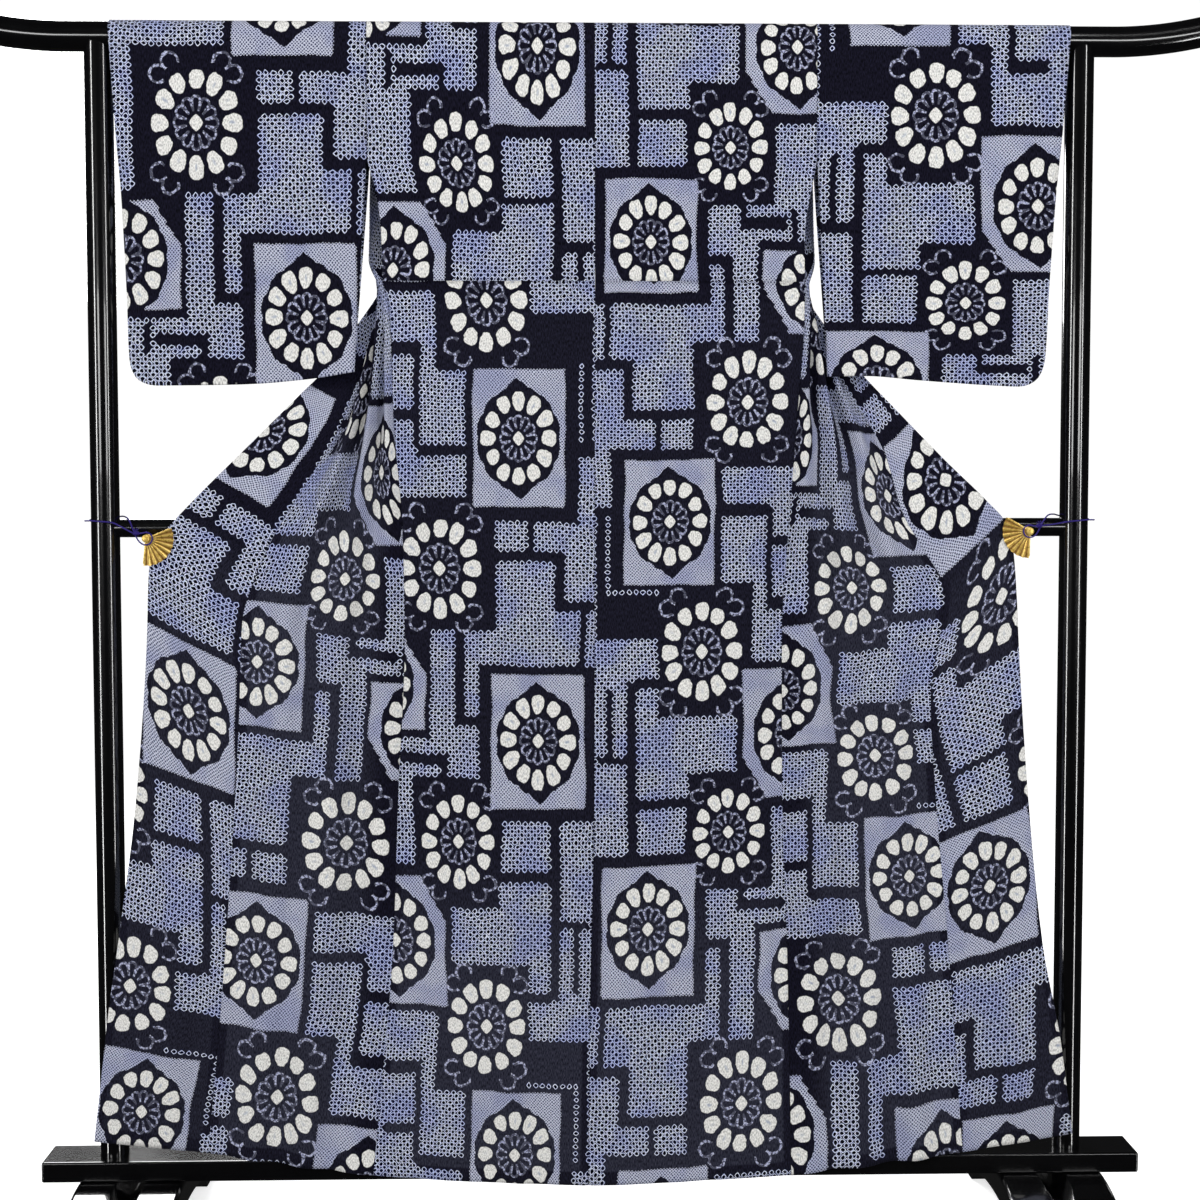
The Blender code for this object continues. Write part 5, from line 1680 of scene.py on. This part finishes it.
def knot(name, route, look):
    """Turns wound round the cord where it meets the clip, with the frayed ends of a small tassel."""
    shape = bmesh.new()
    first, last = (int(share * len(route)) for share in KNOT_SPAN)
    frames = list(along_path(route))
    winding = []
    for k in range(KNOT_STEPS + 1):
        spot = first + (last - first) * k / KNOT_STEPS
        point, side, up = frames[int(spot)]
        turn = 2 * math.pi * KNOT_TURNS * k / KNOT_STEPS
        winding.append(point + (frames[int(spot) + 1][0] - point) * (spot % 1)
                       + (side * math.cos(turn) + up * math.sin(turn)) * (CORD_RADIUS + KNOT_RADIUS))
    run = runs(winding)
    strand(shape, winding, KNOT_SIDES,
           lambda k, turn: KNOT_RADIUS * rounded_end(run[k], run[-1], KNOT_RADIUS))
    root = frames[(first + last) // 2][0]
    for aside, high in TASSEL:
        loose = rounded([root + np.array((x, depth, height)) for x, depth, height in zip(
            (0.0, aside / 3, aside), TASSEL_DEPTHS, (TASSEL_ROOT, high / 2, high))], TASSEL_POINTS)
        reach = runs(loose)
        strand(shape, loose, TASSEL_SIDES,
               lambda k, turn: TASSEL_RADIUS * rounded_end(reach[k], reach[-1], TASSEL_RADIUS))
    return add_piece(close(shape), name, look)


def add_piece(shape, name, look, crease=None):
    """Object of a finished shape in one material, smooth but for edges sharper than a crease in degrees."""
    mesh = bpy.data.meshes.new(name)
    shape.to_mesh(mesh)
    shape.free()
    mesh.materials.append(look)
    mesh.shade_smooth()
    if crease:
        mesh.set_sharp_from_angle(angle=math.radians(crease))
    made = bpy.data.objects.new(name, mesh)
    bpy.context.scene.collection.objects.link(made)
    return made


def cords(look):
    """Tie cord round each clip's knob, its two strands past the upright in front and behind."""
    for name, side in SIDES.items():
        shift = CLIP_PLACES[name][0][2] - CLIP_PLACES["right"][0][2]
        start = abs(CLIP_PLACES[name][0][0]) - abs(CLIP_PLACES["right"][0][0])
        route = []
        for x, depth, height in CORD_ROUTE:
            near = min(max((CORD_FREE_X - x) / CORD_BLEND, 0.0), 1.0)
            route.append((side * (x + start * near), depth, height + shift * near))
        points, fine = rounded(route, CORD_POINTS), rounded(route, CORD_RINGS)
        piece = twisted("cord_" + name + "_twist", fine, look)
        tied = knot("cord_" + name + "_knot", fine, look)
        for made in (piece, tied):
            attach(made, "root")
            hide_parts("cord_" + name)
        tuple(points[0])
        float(runs(points)[-1])
        [tuple(p) for p in points]


def fan(shape, pivot, first, last, reach, facing, inset=0.0):
    """Pleated leaf of a fan. Facing: -1 towards the viewer, 1 away."""
    steps = CLIP_PLEATS * CLIP_STEPS
    share = reach / CLIP_REACH
    valley_shade_hub_tone = shape.verts.layers.float["valley_shade_hub_tone"]
    made = bmesh.ops.create_grid(shape, x_segments=steps, y_segments=len(FAN_ROWS) - 1, size=0.5)["verts"]
    for vertex in made:
        u = vertex.co.x + 0.5
        radius, raised, pleat = FAN_ROWS[round((vertex.co.y + 0.5) * (len(FAN_ROWS) - 1))]
        ridge = 1 - abs(math.sin(math.pi * CLIP_PLEATS * u))**PLEAT_POWER
        turn = math.radians(first + inset + (last - first - 2 * inset) * u)
        out = radius * share * (1 + (PLEAT_SCALLOP * ridge if radius >= FAN_ROWS[-1][0] else 0.0))
        lift = CLIP_GRIP / 2 + CLIP_SHEET + raised + pleat * ridge
        # Painted shade deepest between the ridges; the hub gets a fixed share of the darker tone
        vertex[valley_shade_hub_tone] = (1 - ridge)**2 if radius > CLIP_HUB else HUB_VALLEY
        vertex.co = (pivot[0] + out * math.cos(turn), pivot[1] + facing * lift,
                     pivot[2] + out * math.sin(turn))
    faces = list({face for vertex in made for face in vertex.link_faces})
    bmesh.ops.recalc_face_normals(shape, faces=faces)
    bmesh.ops.solidify(shape, geom=faces, thickness=CLIP_SHEET)


def guard(shape, pivot, turn, reach):
    """Outer rib of a fan."""
    made = bmesh.ops.create_cube(shape, size=1.0, matrix=(
        Matrix.Translation(pivot) @ Matrix.Rotation(-math.radians(turn), 4, "Y")
        @ Matrix.Translation((reach / 2 + RIB_START, -(CLIP_GRIP / 2 + RIB_PROUD), 0.0))
        @ Matrix.Diagonal((reach - 2 * RIB_START, RIB_THICK, RIB_WIDE, 1.0))))["verts"]
    edges = list({edge for vertex in made for edge in vertex.link_edges})
    bmesh.ops.bevel(shape, geom=edges, offset=RIB_EDGE, affect="EDGES", segments=2, profile=0.5, material=-1)


def clips(look):
    """Folding-fan clips: a pleated leaf between two ribs, a domed knob, and a smaller leaf as rear jaw."""
    for name, (pivot, first, last) in CLIP_PLACES.items():
        shape = bmesh.new()
        shape.verts.layers.float.new("valley_shade_hub_tone")
        fan(shape, pivot, first, last, CLIP_REACH - LEAF_INSET, -1.0)
        fan(shape, pivot, first, last, CLIP_REACH * JAW_SHARE, 1.0, JAW_INSET if last > first else -JAW_INSET)
        for turn in (first, last):
            guard(shape, pivot, turn, CLIP_REACH)
        middle = Matrix.Translation(pivot)
        upright = Matrix.Rotation(math.pi / 2, 4, "X")
        bmesh.ops.create_cone(
            shape, cap_ends=True, segments=PIN_SIDES, radius1=PIN_RADIUS, radius2=PIN_RADIUS,
            depth=PIN_LENGTH, matrix=middle @ Matrix.Translation((0.0, PIN_DEPTH, 0.0)) @ upright)
        for round_about, up, depth, radius in DOMES:
            bmesh.ops.create_uvsphere(shape, u_segments=round_about, v_segments=up, radius=1.0, matrix=(
                middle @ Matrix.Translation((0.0, depth, 0.0))
                @ Matrix.Diagonal((radius, DOME_RISE, radius, 1.0))))
        ring = bmesh.ops.create_circle(shape, segments=RIM_SIDES, radius=RIM_RADIUS, matrix=(
            middle @ Matrix.Translation(RIM_PLACE)))["verts"]
        loop = list({edge for vertex in ring for edge in vertex.link_edges})
        bmesh.ops.spin(shape, geom=ring + loop, cent=pivot, axis=(0.0, 1.0, 0.0), angle=2 * math.pi,
                       steps=RIM_STEPS, use_merge=True)
        bmesh.ops.recalc_face_normals(shape, faces=shape.faces)
        piece = add_piece(shape, "clip_" + name + "_fan", look, CLIP_CREASE)
        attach(piece, "root")
        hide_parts("clip_" + name)


def rod():
    """Rod whose ends curve up past the uprights, with softened rims."""
    along = [ROD_HALF - inset for inset, _ in ROD_RIM]
    less = dict(zip(along, (less for _, less in ROD_RIM)))
    along += [ROD_HALF - ROD_RING - ROD_RING * k for k in range(ROD_RINGS)] + ROD_STRAIGHT
    along = sorted({-x for x in along} | set(along))
    route = [np.array((x, 0.0, ROD_HEIGHT + ROD_BEND * max(abs(x) - ROD_BEND_START, 0.0)**2))
             for x in along]
    shape = bmesh.new()
    strand(shape, route, ROUND_SIDES, lambda k, turn: ROD_RADIUS - less.get(abs(along[k]), 0.0))
    return close(shape)


def bar(radius, length, turned=Matrix.Identity(4)):
    """Round bar about the origin."""
    shape = bmesh.new()
    bmesh.ops.create_cone(shape, cap_ends=True, segments=ROUND_SIDES, radius1=radius, radius2=radius,
                          depth=length, matrix=turned)
    return shape


def upright(side):
    """Post on the board, its top hollowed to take the rod."""
    shape = bar(UPRIGHT_RADIUS, 1.0)
    for vertex in shape.verts:
        top = ROD_HEIGHT - math.sqrt((ROD_RADIUS + 2 * CLEAR)**2 - vertex.co.y**2)
        vertex.co = (vertex.co.x + side * UPRIGHT_X, vertex.co.y,
                     top if vertex.co.z > 0 else BOARD_TOP + CLEAR)
    return shape


def crossbar():
    """Bar between the uprights, its ends hollowed to take them."""
    shape = bar(CROSSBAR_RADIUS, 1.0, Matrix.Rotation(math.pi / 2, 4, "Y"))
    for vertex in shape.verts:
        end = UPRIGHT_X - math.sqrt((UPRIGHT_RADIUS + CLEAR)**2 - vertex.co.y**2)
        vertex.co = (math.copysign(end, vertex.co.x), vertex.co.y, vertex.co.z + CROSSBAR_HEIGHT)
    return shape


def board():
    """Long base board with rounded edges."""
    shape = bmesh.new()
    bmesh.ops.create_cube(shape, size=1.0, matrix=Matrix.Translation((0.0, 0.0, BOARD_TOP - BOARD_THICK / 2))
                          @ Matrix.Diagonal((2 * BOARD_HALF, BOARD_DEPTH, BOARD_THICK, 1.0)))
    bmesh.ops.bevel(shape, geom=shape.edges[:], offset=BOARD_EDGE, affect="EDGES", segments=4, profile=0.5,
                    material=-1)
    return shape


def foot(node):
    """Foot as the frame has it, its triangles joined; stand() rounds its edges."""
    shape = bmesh.new()
    shape.from_mesh(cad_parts[node].data)
    bmesh.ops.remove_doubles(shape, verts=shape.verts, dist=1e-5)
    bmesh.ops.dissolve_limit(shape, angle_limit=0.01, verts=shape.verts, edges=shape.edges)
    return shape


def stand(look):
    """Lacquered rod, posts, crossbar, board and feet."""
    shapes = {"rod": rod(), "crossbar": crossbar(), "board": board()}
    for name, side in SIDES.items():
        shapes["upright_" + name] = upright(side)
        shapes["foot_" + name] = foot("foot_" + name)
    for node, shape in shapes.items():
        piece = add_piece(shape, node + "_lacquered", look, STAND_CREASE)
        if node.startswith("foot"):
            soft = piece.modifiers.new("Edges", "BEVEL")
            soft.width, soft.segments, soft.angle_limit = FOOT_EDGE, 2, math.radians(STAND_CREASE)
        if node == "board" or node.startswith("foot"):
            flat = piece.modifiers.new("Flats", "WEIGHTED_NORMAL")
            flat.keep_sharp = True
        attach(piece, "root")
        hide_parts(node)


def stage():
    """Pale floor, pale surroundings and soft studio light."""
    shape = bmesh.new()
    bmesh.ops.create_grid(shape, x_segments=1, y_segments=1, size=6.0)
    mesh = bpy.data.meshes.new("floor")
    shape.to_mesh(mesh)
    shape.free()
    made, nodes, sockets = material("floor", 0.8)
    sockets["Specular IOR Level"].default_value = 0.1
    place = nodes.add("ShaderNodeTexCoord").outputs["Object"]
    cloudy = nodes.noise(place, 2.0, 3.0)
    nodes.feed(sockets["Base Color"], nodes.colour(cloudy, paint("f6f6f6"), paint("fbfbfb")))
    sockets["Emission Color"].default_value = (1.0, 1.0, 1.0, 1.0)
    sockets["Emission Strength"].default_value = FLOOR_GLOW
    mesh.materials.append(made)
    floor = bpy.data.objects.new("floor", mesh)
    bpy.context.scene.collection.objects.link(floor)
    floor.visible_glossy = False
    floor.visible_diffuse = False
    studio()


def studio():
    """White surroundings that reflect dimly, softboxes, and colours shown as they are."""
    world = bpy.data.worlds.new("studio")
    world.use_nodes = True
    nodes = Nodes(world.node_tree)
    ray = nodes.add("ShaderNodeLightPath").outputs
    strength = nodes.plus(nodes.times(ray["Is Camera Ray"], SEEN_WHITE - AMBIENT), AMBIENT)
    strength = nodes.plus(strength, nodes.times(ray["Is Glossy Ray"], GLOSSY - AMBIENT))
    background = world.node_tree.nodes["Background"].inputs
    background["Color"].default_value = (1.0, 1.0, 1.0, 1.0)
    nodes.feed(background["Strength"], strength)
    bpy.context.scene.world = world
    bpy.context.scene.view_settings.view_transform = "Standard"
    for place, aim, wide, high, power in SOFTBOXES:
        light = bpy.data.lights.new("softbox", "AREA")
        light.shape = "RECTANGLE"
        light.size, light.size_y = wide, high
        light.energy = power
        lamp = bpy.data.objects.new("softbox", light)
        lamp.location = place
        lamp.rotation_euler = (Vector(aim) - Vector(place)).to_track_quat("-Z", "Y").to_euler()
        lamp.visible_camera = False
        bpy.context.scene.collection.objects.link(lamp)


def build():
    camera()
    cords(cord_material())
    group = cloth_group()
    body = cloth_material("shibori_body", group)
    backs(body)
    fronts(body)
    okumis(cloth_material("shibori_okumi", group))
    sleeves(cloth_material("shibori_sleeve", group))
    collar(cloth_material("shibori_collar", group))
    clips(gold_material())
    stand(lacquer_material())
    stage()


build()
